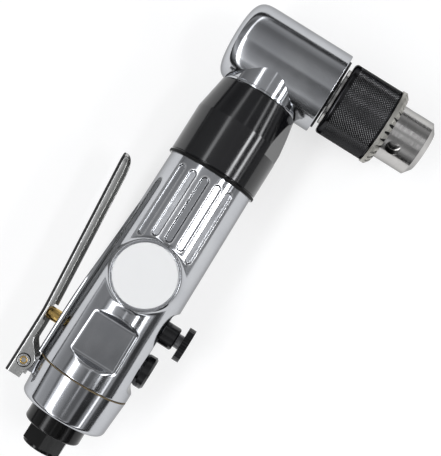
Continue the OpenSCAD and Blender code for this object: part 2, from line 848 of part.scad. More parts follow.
spring_start_x = valve_x + valve_seal_t + valve_head_t;
spring_end_x = valve_face_x + 1.6;
function spring_path() =
  let (steps = 8, len_x = spring_end_x - spring_start_x - spring_wire - 0.2)
  [for (i = [0 : steps * spring_curls])
    [(spring_d - spring_wire) / 2 * cos(i * 360 / steps),
      (spring_d - spring_wire) / 2 * sin(i * 360 / steps),
      spring_wire / 2 + 0.1 + len_x * i / (steps * spring_curls)]];
spring_points = spring_path();
spring_gap = min([for (i = [0 : len(spring_points) - 7], j = [i + 5 : min(i + 11, len(spring_points) - 1)])
  norm(spring_points[i] - spring_points[j])]) - spring_wire;
echo(str("Least gap in the throttle spring, mm: ", spring_gap));

module throttle_spring() {
  color("gray")
    along_x(spring_start_x, throttle_y)
      swept_tube(spring_points, spring_wire / 2, 6);
}

module throttle_cap() {
  rim = 1;
  cap_r = throttle_cap_d / 2;
  color("#1c1c1e")
    along_x(valve_face_x, throttle_y)
      difference() {
        union() {
          rotate_extrude()
            polygon([
              [0, 0], [cap_r - rim * 0.6, 0], [cap_r, rim],
              [cap_r, throttle_cap_t - rim], [cap_r - rim, throttle_cap_t], [0, throttle_cap_t]
            ]);
          translate([0, 0, -throttle_plug_len])
            cylinder(r = chamber_d / 2 - fit_gap, h = throttle_plug_len + eps);
        }
        translate([0, 0, -throttle_plug_len - 1])
          cylinder(r = spring_d / 2 + 0.3, h = throttle_plug_len + 1 + spring_end_x - valve_face_x);
        translate([-1.1, -far / 2, throttle_cap_t - 1.5])
          cube([2.2, far, 3]);
        translate([0, 0, -2.6])
          tube(chamber_d, chamber_d / 2 - 1.1, 1.6);
      }
}

module throttle_cap_oring() {
  color("#202020")
    along_x(valve_face_x - 1.8, throttle_y)
      oring(chamber_d / 2 - 0.6, 0.45);
}

// Reverse valve
spool_r = spool_d / 2;
module reverse_bushing() {
  color("#1c1c1e")
    along_x(valve_face_x, reverse_y)
      difference() {
        union() {
          cylinder(r = reverse_bush_d / 2, h = reverse_bush_len - 0.6);
          translate([0, 0, reverse_bush_len - 0.6 - eps])
            cylinder(r1 = reverse_bush_d / 2, r2 = reverse_bush_d / 2 - 0.6, h = 0.6 + eps);
          translate([0, 0, -reverse_stub_len])
            cylinder(r = reverse_stub_d / 2, h = reverse_stub_len + eps);
        }
        translate([0, 0, -reverse_stub_len + 1])
          cylinder(r = spool_r + run_gap, h = far);
        translate([0, 0, -5])
          tube(spool_r + 1.1, spool_r - 1, 1.4);
        for (x = [-11.6, 11.6])
          translate([0, 0, x - valve_face_x])
            rotate([-90, 0, 0])
              cylinder(r = 1.8, h = far);
        translate([0, 0, seat_x - 6 - valve_face_x])
          rotate([90, 0, 0])
            cylinder(r = 2.1, h = far);
      }
}

module reverse_oring() {
  color("#202020")
    along_x(valve_face_x - 4.3, reverse_y)
      oring(spool_r + 0.6, 0.45);
}

spool_end_x = valve_face_x + reverse_bush_len + neck_len + knob_t * 0.6;
module reverse_spool() {
  color("#6f6f72")
    along_x(0, reverse_y)
      difference() {
        translate([0, 0, valve_face_x - reverse_stub_len + 1 + face_gap])
          cylinder(r = spool_r, h = spool_end_x - valve_face_x + reverse_stub_len - 1 - face_gap);
        for (side = [-1, 1])
          translate([side * (spool_r + far / 2 - 1.3), 0, 0])
            cube([far, far, valve_face_x - 6], center = true);
        translate([0, 0, knob_pin_x])
          rotate([90, 0, 0])
            cylinder(r = 0.75 + fit_gap, h = far, center = true);
      }
}

knob_x = valve_face_x + reverse_bush_len + neck_len;
knob_pin_x = knob_x + 1.1;
module reverse_knob() {
  color("#1c1c1e")
    along_x(knob_x, reverse_y)
      difference() {
        cylinder(r = knob_d / 2, h = knob_t);
        translate([0, 0, -eps])
          cylinder(r = spool_r + fit_gap, h = knob_t * 0.6 + 0.1);
        for (i = [0 : knob_grooves - 1])
          rotate([0, 0, i * 360 / knob_grooves])
            translate([knob_d / 2 + 0.25, 0, -1])
              cylinder(r = 0.55, h = knob_t + 2, $fn = 4);
        translate([0, 0, 1.1])
          rotate([90, 0, 0])
            cylinder(r = 0.75 + fit_gap, h = far, center = true);
      }
}

module knob_pin() {
  color("gray")
    along_x(knob_pin_x, reverse_y)
      rotate([90, 0, 0])
        cylinder(r = 0.75, h = knob_d - 3, center = true);
}

// Motor
plate_flat = motor_bore_d / 2 - 0.85;
rotor_gap = 0.1;
module motor_flat_cut() {
  translate([-far / 2, -far - plate_flat, -1])
    cube([far, far, far]);
}

module rear_end_plate() {
  color("slategray")
    along_y(motor_floor_y)
      difference() {
        cylinder(r = motor_r, h = rear_plate_t);
        translate([0, 0, -eps])
          cylinder(r = small_od / 2, h = small_w + 0.1);
        translate([0, 0, -1])
          cylinder(r = small_bore / 2 + 0.4, h = far);
        for (side = [-1, 1])
          translate([side * 11.6, 0, -1])
            cylinder(r = 1.6, h = far);
        motor_flat_cut();
        dowel_cut();
      }
}

module dowel_cut() {
  translate([0, -dowel_z, -far / 2])
    cylinder(r = dowel_d / 2 + fit_gap, h = far);
}

module rotor_rear_bearing() {
  color("lightsteelblue")
    along_y(motor_floor_y)
      ball_bearing(small_od, small_bore, small_w, 8);
}

module cylinder_liner() {
  color("slategray")
    along_y(liner_y)
      difference() {
        cylinder(r = motor_r, h = liner_len);
        translate([0, -liner_offset, -1])
          cylinder(r = liner_bore_d / 2, h = far);
        motor_flat_cut();
        dowel_cut();
        for (i = [1 : 4])
          translate([0, 0, i * liner_len / 5])
            rotate([90, 0, 0])
              cylinder(r = 1.5, h = far);
      }
}

module liner_dowel() {
  color("gray")
    translate([0, 0, dowel_z])
      along_y(motor_floor_y - 1.9)
        cylinder(r = dowel_d / 2, h = rear_plate_t + liner_len + front_plate_t - 1);
}

rotor_len = liner_len - 2 * rotor_gap;
slot_floor = rotor_d / 2 - vane_h - 0.2;
module rotor() {
  color("dimgray")
    along_y() {
      difference() {
        translate([0, 0, liner_y + rotor_gap])
          cylinder(r = rotor_d / 2, h = rotor_len);
        for (i = [0 : vane_count - 1])
          rotate([0, 0, i * 360 / vane_count])
            translate([slot_floor, -vane_t / 2 - fit_gap, liner_y])
              cube([far, vane_t + 2 * fit_gap, liner_len]);
      }
      translate([0, 0, motor_floor_y + 0.4])
        cylinder(r = small_bore / 2 - run_gap, h = spigot_y - motor_floor_y);
      translate([0, 0, spigot_y + 0.3])
        linear_extrude(sun_len)
          polygon(gear_outline(sun_teeth, gear_module, gear_backlash));
    }
}

module rotor_vanes() {
  color("saddlebrown")
    along_y(liner_y + rotor_gap)
      for (i = [0 : vane_count - 1])
        rotate([0, 0, i * 360 / vane_count])
          translate([slot_floor + 0.1, -vane_t / 2, 0])
            cube([vane_h, vane_t, rotor_len]);
}

module front_end_plate() {
  color("slategray")
    along_y(front_plate_y)
      difference() {
        cylinder(r = motor_r, h = front_plate_t);
        translate([0, 0, front_plate_t - small_w - 0.1])
          cylinder(r = small_od / 2, h = far);
        translate([0, 0, -1])
          cylinder(r = small_bore / 2 + 0.4, h = far);
        dowel_cut();
      }
}

module rotor_front_bearing() {
  color("lightsteelblue")
    along_y(spigot_y - small_w)
      ball_bearing(small_od, small_bore, small_w, 8);
}

// Planet gears
module ring_gear() {
  color("slategray")
    along_y(spigot_y)
      difference() {
        cylinder(r = ring_gear_r, h = ring_gear_len);
        translate([0, 0, -1])
          linear_extrude(ring_gear_len + 2)
            rotate([0, 0, 180 / ring_teeth])
              polygon(gear_outline(ring_teeth, gear_module, -gear_backlash, tooth_root, tooth_top));
      }
}

module planet_gear(k) {
  turn = k * 360 / planet_count;
  color("lightsteelblue")
    along_y(planet_y)
      rotate([0, 0, turn])
        translate([orbit_r, 0, 0])
          difference() {
            linear_extrude(planet_w)
              rotate([0, 0, 180 + 180 / planet_teeth])
                polygon(gear_outline(planet_teeth, gear_module, gear_backlash));
            translate([0, 0, -1])
              cylinder(r = planet_pin_d / 2 + run_gap, h = far);
          }
}

module planet_pins() {
  color("gray")
    along_y(planet_y - 0.3)
      for (k = [0 : planet_count - 1])
        rotate([0, 0, k * 360 / planet_count])
          translate([orbit_r, 0, 0])
            cylinder(r = planet_pin_d / 2, h = carrier_y + carrier_t - planet_y);
}

pinion_socket_af = 6.4;
module planet_carrier() {
  plate_r = orbit_r + planet_pin_d / 2 + 2;
  color("dimgray")
    along_y(carrier_y)
      difference() {
        union() {
          cylinder(r = plate_r, h = carrier_t);
          cylinder(r = carrier_hub_r + 1.2, h = carrier_t + 0.9);
          cylinder(r = carrier_hub_r, h = carrier_t + 1 + small_w + 0.6);
        }
        for (k = [0 : planet_count - 1])
          rotate([0, 0, k * 360 / planet_count])
            translate([orbit_r, 0, -1])
              cylinder(r = planet_pin_d / 2 + fit_gap, h = far);
        translate([0, 0, 2])
          cylinder(r = pinion_socket_af / sqrt(3) + fit_gap, h = far, $fn = 6);
      }
}

module carrier_bearing() {
  color("lightsteelblue")
    along_y(carrier_bearing_y)
      ball_bearing(carrier_bearing_od, carrier_bearing_bore, small_w, 9);
}

module coupling_sleeve() {
  seat_floor = carrier_bearing_y - sleeve_y;
  seat_top = head_spigot_y - sleeve_y;
  cone_edge = 0.5;
  color("#1c1c1e")
    difference() {
      along_y(sleeve_y)
        rotate_extrude()
          polygon([
            [0, 0],
            [sleeve_d / 2 - cone_edge, 0],
            [sleeve_d / 2, cone_edge],
            [sleeve_d / 2, groove_up],
            [sleeve_d / 2 - groove_w, groove_up + groove_w / 2],
            [sleeve_d / 2, groove_up + groove_w],
            [sleeve_d / 2, sleeve_straight],
            [sleeve_top_d / 2, sleeve_len],
            [0, sleeve_len]
          ]);
      for (turn = [-sleeve_flat_turn, 180 - sleeve_flat_turn])
        rotate([0, turn, 0])
          translate([sleeve_flat, sleeve_y + sleeve_flat_start, -far / 2])
            cube([far, far, far]);
      along_y(sleeve_y - eps)
        cylinder(r = spigot_r + fit_gap, h = spigot_len + eps);
      along_y(sleeve_y - eps)
        cylinder(r = sleeve_bore_r, h = ring_shoulder_y - sleeve_y + eps);
      along_y(sleeve_y)
        cylinder(r = carrier_bearing_od / 2 - 1.6, h = far);
      along_y(ring_shoulder_y - 1)
        cylinder(
          r = orbit_r + planet_pin_d / 2 + 2.6,
          h = carrier_y + carrier_t + 0.5 - ring_shoulder_y + 1
        );
      along_y(sleeve_y + seat_floor)
        cylinder(r = carrier_bearing_od / 2, h = seat_top - seat_floor + 0.1);
      along_y(head_spigot_y)
        cylinder(r = head_spigot_d / 2 + fit_gap, h = far);
      along_y(spigot_y - 2.2)
        tube(spigot_r + 1, spigot_r - 1, 1.6);
    }
}

module sleeve_oring() {
  color("#202020")
    along_y(spigot_y - 1.4)
      oring(spigot_r + 0.55, 0.42);
}

// Angle head
module head_outside() {
  head_r = head_d / 2;
  along_x(-head_back)
    rotate_extrude()
      union() {
        polygon([
          [0, 0],
          [head_r - head_edge_r, 0],
          [head_r - head_edge_r, head_edge_r],
          [head_r, head_edge_r],
          [head_r, head_back + head_front - 0.5],
          [head_r - 0.5, head_back + head_front],
          [0, head_back + head_front]
        ]);
        translate([head_r - head_edge_r, head_edge_r])
          circle(r = head_edge_r);
      }
  along_y(head_y)
    cylinder(r = neck_d / 2, h = axis_y - head_y);
  along_y(head_y)
    cylinder(r = lip_d / 2, h = lip_len);
  along_y(head_spigot_y)
    cylinder(r = head_spigot_d / 2, h = head_spigot_len + eps);
}

module angle_head() {
  color("silver")
    difference() {
      head_outside();
      along_x(-gear_back_x - 0.4)
        cylinder(r = head_bore_r, h = far);
      along_x(front_ring_x - 0.3)
        cylinder(r = head_bore_r + 1, h = far);
      along_x(rear_bearing_x - small_w + 4)
        cylinder(r = small_od / 2, h = far);
      along_y(head_spigot_y - eps)
        cylinder(r = small_od / 2, h = small_w + 2.1);
      along_y(head_spigot_y)
        cylinder(r = small_od / 2 - 1, h = axis_y - head_spigot_y);
    }
}

module pinion_bearing() {
  color("lightsteelblue")
    along_y(pinion_bearing_y)
      ball_bearing(small_od, small_bore, small_w, 8);
}

module bevel_pinion() {
  shaft_end = cone_len * cos(pinion_cone) + 0.4;
  color("dimgray")
    translate([0, axis_y, 0])
      rotate([90, 0, 0]) {
        bevel_teeth_solid(pinion_teeth, pinion_cone, bevel_w);
        translate([0, 0, cone_len * cos(pinion_cone) - 0.4])
          cylinder(r = pinion_shaft_r + 1.4, h = 1.8);
        translate([0, 0, shaft_end - 1])
          cylinder(r = pinion_shaft_r, h = axis_y - pinion_bearing_y - shaft_end + 1.2);
        translate([0, 0, axis_y - pinion_bearing_y - 1])
          cylinder(r = pinion_socket_af / sqrt(3), h = pinion_bearing_y - carrier_y - 2.2 + 1, $fn = 6);
      }
}

gear_bore_r = spindle_d / 2 + fit_gap;
key_w = 2;
module bevel_gear() {
  color("dimgray")
    translate([0, axis_y, 0])
      rotate([0, -90, 0])
        difference() {
          union() {
            rotate([0, 0, 270 + 180 / bevel_teeth])
              bevel_teeth_solid(bevel_teeth, bevel_cone, bevel_w);
            translate([0, 0, cone_len * cos(bevel_cone) - 0.2])
              cylinder(
                r = cone_len * sin(bevel_cone) - 2.2,
                h = gear_back_x - cone_len * cos(bevel_cone) + 0.2
              );
          }
          cylinder(r = gear_bore_r, h = far, center = true);
          translate([-key_w / 2 - fit_gap, 0, 0])
            cube([key_w + 2 * fit_gap, spindle_d / 2 + 1, far]);
        }
}

module spindle_key() {
  color("gray")
    translate([-gear_back_x + 0.5, axis_y + spindle_d / 2 - 1, -key_w / 2])
      cube([4, 1.9, key_w]);
}

spindle_thread_r = 4.7;
module spindle() {
  journal_r = small_bore / 2 - fit_gap;
  color("gray")
    difference() {
      along_x() {
        translate([0, 0, rear_bearing_x - small_w + 4 + 0.3])
          cylinder(r = journal_r, h = -rear_bearing_x);
        translate([0, 0, -gear_back_x])
          cylinder(r = spindle_d / 2 - fit_gap, h = gear_back_x + front_ring_x);
        translate([0, 0, front_ring_x - 0.4])
          cylinder(r = collar_r, h = chuck_x - front_ring_x + 0.4);
        cylinder(r = spindle_thread_r, h = chuck_x + stub_x);
      }
      translate([-gear_back_x + 0.4, axis_y + spindle_d / 2 - 1 - fit_gap, -key_w / 2 - fit_gap])
        cube([4.2, 3, key_w + 2 * fit_gap]);
    }
}

module spindle_rear_bearing() {
  color("lightsteelblue")
    along_x(rear_bearing_x - small_w + 4.1)
      ball_bearing(small_od, small_bore, small_w, 8);
}

module spindle_front_bearing() {
  color("lightsteelblue")
    along_x(front_bearing_x)
      ball_bearing(spindle_bearing_od, spindle_d, spindle_bearing_w, 9);
}

module head_front_ring() {
  color("#1c1c1e")
    along_x(front_ring_x)
      difference() {
        union() {
          cylinder(r = head_bore_r + 1 - fit_gap, h = front_ring_len + front_ring_lip);
          translate([0, 0, front_ring_len])
            cylinder(r = head_d / 2 - 2.6, h = front_ring_lip);
        }
        translate([0, 0, -1])
          cylinder(r = collar_r + 0.2, h = far);
      }
}

// Chuck. A jaw's axis lies at this distance from the chuck's axis
function jaw_axis_r(x) = jaw_start_r + (jaw_start_x - x) * tan(jaw_tilt);

// A shape built along +Z is laid on jaw k's axis, with its origin at the chuck's mouth
module on_jaw_axis(k) {
  along_x()
    rotate([0, 0, key_turn + 60 + k * 120])
      translate([jaw_start_r, 0, jaw_start_x])
        rotate([0, -jaw_tilt, 0])
          children();
}

module chuck_body() {
  color("#c8c8c8")
    difference() {
      along_x(chuck_x)
        rotate_extrude()
          polygon([
            [0, 0],
            [core_r + 0.3, 0],
            [core_r + 0.5, 0.2],
            [core_r + 0.5, rear_collar_len],
            [core_r, rear_collar_len],
            [core_r, nut_x - chuck_x - 0.4],
            [core_r - 1.3, nut_x - chuck_x - 0.4],
            [core_r - 1.3, gear_ring_x - 2 - chuck_x],
            [core_r, gear_ring_x - 2 - chuck_x],
            [core_r, chuck_len - nose_chamfer],
            [core_r - nose_chamfer_in, chuck_len],
            [0, chuck_len]
          ]);
      along_x(chuck_x - 1)
        cylinder(r = spindle_thread_r + fit_gap, h = stub_x + 2);
      along_x(chuck_x + stub_x + 2)
        cylinder(r = bit_r + 0.3, h = far);
      for (k = [0 : 2]) {
        on_jaw_axis(k)
          translate([0, 0, -jaw_len - jaw_travel - 4])
            cylinder(r = jaw_bore_r, h = jaw_len + jaw_travel + 10);
        along_x(ring_end_x + key_hole_out)
          rotate([0, 0, key_turn + k * 120])
            translate([key_hole_floor, 0, 0])
              rotate([0, 90, 0])
                cylinder(r = key_hole_d / 2, h = far);
      }
    }
}

module chuck_sleeve() {
  outer = knurl_d / 2;
  length = gear_ring_x - chuck_sleeve_x;
  color("#26262a")
    along_x(chuck_sleeve_x)
      difference() {
        rotate_extrude()
          union() {
            polygon([
              [0, 0],
              [outer - knurl_edge_r, 0],
              [outer - knurl_edge_r, knurl_edge_r],
              [outer, knurl_edge_r],
              [outer, length],
              [0, length]
            ]);
            translate([outer - knurl_edge_r, knurl_edge_r])
              circle(r = knurl_edge_r);
          }
        translate([0, 0, -1])
          cylinder(r = sleeve_hole_r, h = far);
        translate([0, 0, 2.6])
          cylinder(r = nut_r + fit_gap, h = far);
      }
}

module chuck_gear_ring() {
  ring_r = gear_ring_d / 2;
  color("gainsboro")
    along_x(gear_ring_x)
      difference() {
        union() {
          rotate_extrude()
            polygon([
              [0, 0],
              [ring_r, 0],
              [ring_r, gear_ring_len - gear_ring_tooth],
              [ring_r - 1.8, gear_ring_len],
              [0, gear_ring_len]
            ]);
          translate([0, 0, -2.2])
            cylinder(r = nut_r, h = 2.2 + eps);
        }
        translate([0, 0, -5])
          cylinder(r = sleeve_hole_r, h = far);
        for (i = [0 : gear_ring_teeth - 1])
          rotate([0, 0, (i + 0.5) * 360 / gear_ring_teeth])
            translate([ring_r + 0.4, 0, gear_ring_len - gear_ring_tooth * 0.55])
              rotate([0, -60, 0])
                translate([0, 0, -1])
                  cylinder(r = 0.95, h = 12, $fn = 24);
      }
}

module jaw_nut() {
  wide = jaw_axis_r(nut_x) + jaw_r / cos(jaw_tilt) + nut_gap;
  narrow = jaw_axis_r(nut_x + nut_len) + jaw_r / cos(jaw_tilt) + nut_gap;
  color("dimgray")
    along_x(nut_x)
      difference() {
        cylinder(r = nut_r, h = nut_len);
        translate([0, 0, -eps])
          cylinder(r1 = wide, r2 = narrow, h = nut_len + 2 * eps);
      }
}

// Jaw k, open, with two flats that meet in a ridge along the chuck's axis
module chuck_jaw(k) {
  ridge = 0.4;
  tip_back = jaw_travel + 0.4;
  color("dimgray")
    difference() {
      on_jaw_axis(k)
        translate([0, 0, -jaw_len - tip_back])
          cylinder(r = jaw_r, h = jaw_len);
      along_x()
        rotate([0, 0, key_turn + 60 + k * 120])
          linear_extrude(far)
            polygon([
              [bit_r, -ridge],
              [bit_r, ridge],
              [bit_r + far * cos(60), ridge + far * sin(60)],
              [-far, far],
              [-far, -far],
              [bit_r + far * cos(60), -ridge - far * sin(60)]
            ]);
      jaw_tip_cut(k, tip_back);
    }
}

// Cuts a jaw's tip square to the chuck's axis
module jaw_tip_cut(k, tip_back) {
  along_x(jaw_start_x - (tip_back + jaw_r * tan(jaw_tilt)) * cos(jaw_tilt))
    cylinder(r = far, h = far);
}

motor_housing();
nameplate();
end_cap();
cap_gasket();
air_inlet();
inlet_screen();
exhaust_muffler();
lever_pin();
throttle_lever();
throttle_bushing();
stem_oring();
throttle_stem();
throttle_valve_seal();
throttle_spring();
throttle_cap();
throttle_cap_oring();
reverse_bushing();
reverse_oring();
reverse_spool();
reverse_knob();
knob_pin();
rear_end_plate();
rotor_rear_bearing();
cylinder_liner();
liner_dowel();
rotor();
rotor_vanes();
front_end_plate();
rotor_front_bearing();
ring_gear();
planet_gear(0);  // planet_gear_1
planet_gear(1);  // planet_gear_2
planet_gear(2);  // planet_gear_3
planet_pins();
planet_carrier();
carrier_bearing();
coupling_sleeve();
sleeve_oring();
angle_head();
pinion_bearing();
bevel_pinion();
bevel_gear();
spindle_key();
spindle();
spindle_rear_bearing();
spindle_front_bearing();
head_front_ring();
chuck_body();
chuck_sleeve();
chuck_gear_ring();
jaw_nut();
chuck_jaw(0);  // chuck_jaw_1
chuck_jaw(1);  // chuck_jaw_2
chuck_jaw(2);  // chuck_jaw_3
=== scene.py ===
# Right angle air drill lying on a white table
import json
import math

import bmesh
import bpy
import numpy as np
from mathutils import Matrix, Vector


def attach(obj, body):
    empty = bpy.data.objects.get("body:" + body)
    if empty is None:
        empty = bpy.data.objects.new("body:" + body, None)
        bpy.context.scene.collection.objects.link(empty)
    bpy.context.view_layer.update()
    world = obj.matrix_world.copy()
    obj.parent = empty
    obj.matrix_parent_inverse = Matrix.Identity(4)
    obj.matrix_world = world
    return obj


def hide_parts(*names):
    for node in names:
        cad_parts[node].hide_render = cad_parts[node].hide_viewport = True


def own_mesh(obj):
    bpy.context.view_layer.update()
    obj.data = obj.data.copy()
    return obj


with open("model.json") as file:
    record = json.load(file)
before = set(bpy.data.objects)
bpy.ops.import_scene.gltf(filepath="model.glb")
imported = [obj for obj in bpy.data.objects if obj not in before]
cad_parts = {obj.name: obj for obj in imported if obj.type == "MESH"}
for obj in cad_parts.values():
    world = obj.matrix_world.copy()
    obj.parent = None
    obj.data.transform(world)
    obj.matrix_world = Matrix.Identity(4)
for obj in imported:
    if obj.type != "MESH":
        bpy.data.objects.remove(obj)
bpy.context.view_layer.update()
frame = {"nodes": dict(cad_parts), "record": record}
nodes = frame["nodes"]
scene = bpy.context.scene
scene.view_settings.view_transform = "Standard"
mm = 0.001
spindleY = 200.0  # height of the chuck's axis along the handle
pinhole = 0.02  # radius at which a turned piece closes on its axis
print("frame loaded:", len(nodes), "nodes")


# Materials. Every one reads object coordinates, which are the part's own metres.
def newMaterial(name):
    material = bpy.data.materials.new(name)
    material.use_nodes = True
    tree = material.node_tree
    tree.nodes.clear()
    out = tree.nodes.new("ShaderNodeOutputMaterial")
    return material, tree, out.inputs["Surface"]


def calculate(tree, operation, *values):
    # each value is a socket or a fixed number
    node = tree.nodes.new("ShaderNodeMath")
    node.operation = operation
    for socket, value in zip(node.inputs, values):
        if isinstance(value, (int, float)):
            socket.default_value = value
        else:
            tree.links.new(value, socket)
    return node.outputs[0]


def mixColours(tree, share, first, second):
    # each colour is a socket or a fixed red, green and blue
    mix = tree.nodes.new("ShaderNodeMix")
    mix.data_type = "RGBA"
    tree.links.new(share, mix.inputs[0])
    for socket, colour in ((mix.inputs[6], first), (mix.inputs[7], second)):
        if isinstance(colour, tuple):
            socket.default_value = (*colour, 1)
        else:
            tree.links.new(colour, socket)
    return mix.outputs[2]


def mixValues(tree, share, first, second):
    mix = tree.nodes.new("ShaderNodeMix")
    for socket, value in ((mix.inputs[0], share), (mix.inputs[2], first), (mix.inputs[3], second)):
        tree.links.new(value, socket)
    return mix.outputs[0]


def spread(tree, value, low, high, fromLow=0.3, fromHigh=0.7, kind="LINEAR"):
    ramp = tree.nodes.new("ShaderNodeMapRange")
    ramp.interpolation_type = kind
    ramp.inputs["From Min"].default_value = fromLow
    ramp.inputs["From Max"].default_value = fromHigh
    ramp.inputs["To Min"].default_value = low
    ramp.inputs["To Max"].default_value = high
    tree.links.new(value, ramp.inputs["Value"])
    return ramp.outputs["Result"]


def noiseAt(tree, stretch, scale, detail, roughness=0.5):
    coords = tree.nodes.new("ShaderNodeTexCoord")
    mapping = tree.nodes.new("ShaderNodeMapping")
    mapping.inputs["Scale"].default_value = stretch
    noise = tree.nodes.new("ShaderNodeTexNoise")
    noise.inputs["Scale"].default_value = scale
    noise.inputs["Detail"].default_value = detail
    noise.inputs["Roughness"].default_value = roughness
    tree.links.new(coords.outputs["Object"], mapping.inputs["Vector"])
    tree.links.new(mapping.outputs["Vector"], noise.inputs["Vector"])
    return noise.outputs["Fac"]


def bump(tree, shader, height, distance):
    node = tree.nodes.new("ShaderNodeBump")
    node.inputs["Strength"].default_value = 1.0
    node.inputs["Distance"].default_value = distance
    tree.links.new(height, node.inputs["Height"])
    tree.links.new(node.outputs["Normal"], shader.inputs["Normal"])


def tintBy(tree, shader, attributeName, colour):
    # a value that the mesh carries for each point brings this colour in
    attribute = tree.nodes.new("ShaderNodeAttribute")
    attribute.attribute_name = attributeName
    surface = shader.inputs["Base Color"].links[0].from_socket
    tree.links.new(mixColours(tree, attribute.outputs["Fac"], surface, colour), shader.inputs["Base Color"])


def paintShadeInside(tree, shader, inside):
    # the bore and the key holes are painted dark as shade, but not the tip and the flat ends of the key holes
    coords = tree.nodes.new("ShaderNodeTexCoord")
    offset = tree.nodes.new("ShaderNodeMapping")
    offset.inputs["Location"].default_value = (0, -spindleY * mm, 0)
    tree.links.new(coords.outputs["Object"], offset.inputs["Vector"])
    flatten = tree.nodes.new("ShaderNodeVectorMath")
    flatten.operation = "MULTIPLY"
    flatten.inputs[1].default_value = (0, 1, 1)
    tree.links.new(offset.outputs["Vector"], flatten.inputs[0])
    fromAxis = tree.nodes.new("ShaderNodeVectorMath")
    fromAxis.operation = "LENGTH"
    tree.links.new(flatten.outputs["Vector"], fromAxis.inputs[0])
    split = tree.nodes.new("ShaderNodeSeparateXYZ")
    tree.links.new(coords.outputs["Object"], split.inputs[0])
    distance = fromAxis.outputs["Value"]
    isOutside = calculate(tree, "GREATER_THAN", distance, inside["radius"] * mm)
    isFloor = calculate(tree, "COMPARE", distance, inside["floorAt"] * mm, inside["floorHalf"] * mm)
    isTip = calculate(tree, "GREATER_THAN", split.outputs["X"], inside["tipFrom"] * mm)
    isUnshaded = calculate(tree, "MAXIMUM", calculate(tree, "MAXIMUM", isOutside, isFloor), isTip)
    surface = shader.inputs["Base Color"].links[0].from_socket
    tree.links.new(mixColours(tree, isUnshaded, inside["colour"], surface), shader.inputs["Base Color"])


# A finish: two near colours that mottle, a roughness range, and marks that run one way
def makeFinish(name, spec):
    material, tree, surface = newMaterial(name)
    shader = tree.nodes.new("ShaderNodeBsdfPrincipled")
    tree.links.new(shader.outputs["BSDF"], surface)
    mottle = spread(tree, noiseAt(tree, (1, 1, 1), spec.get("mottleScale", 90), 4), 0, 1, 0.35, 0.65)
    tree.links.new(mixColours(tree, mottle, spec["colour"], spec["shade"]), shader.inputs["Base Color"])
    marks = noiseAt(tree, spec.get("marks", (1, 1, 1)), spec.get("marksScale", 400), 5, 0.6)
    tree.links.new(spread(tree, marks, *spec["rough"]), shader.inputs["Roughness"])
    shader.inputs["Metallic"].default_value = spec.get("metal", 0)
    if "edge" in spec:
        shader.inputs["Specular Tint"].default_value = (spec["edge"], spec["edge"], spec["edge"], 1)
    if "specular" in spec:
        shader.inputs["Specular IOR Level"].default_value = spec["specular"]
    if "wave" in spec:
        # slow unevenness of a surface that was polished by hand
        bump(tree, shader, noiseAt(tree, (1, 1, 1), spec["waveScale"], 1.5), spec["wave"] * mm)
    elif "bump" in spec:
        bump(tree, shader, marks, spec["bump"] * mm)
    if "inside" in spec:
        paintShadeInside(tree, shader, spec["inside"])
    for attributeName, colour in spec.get("tints", {}).items():
        tintBy(tree, shader, attributeName, colour)
    return material


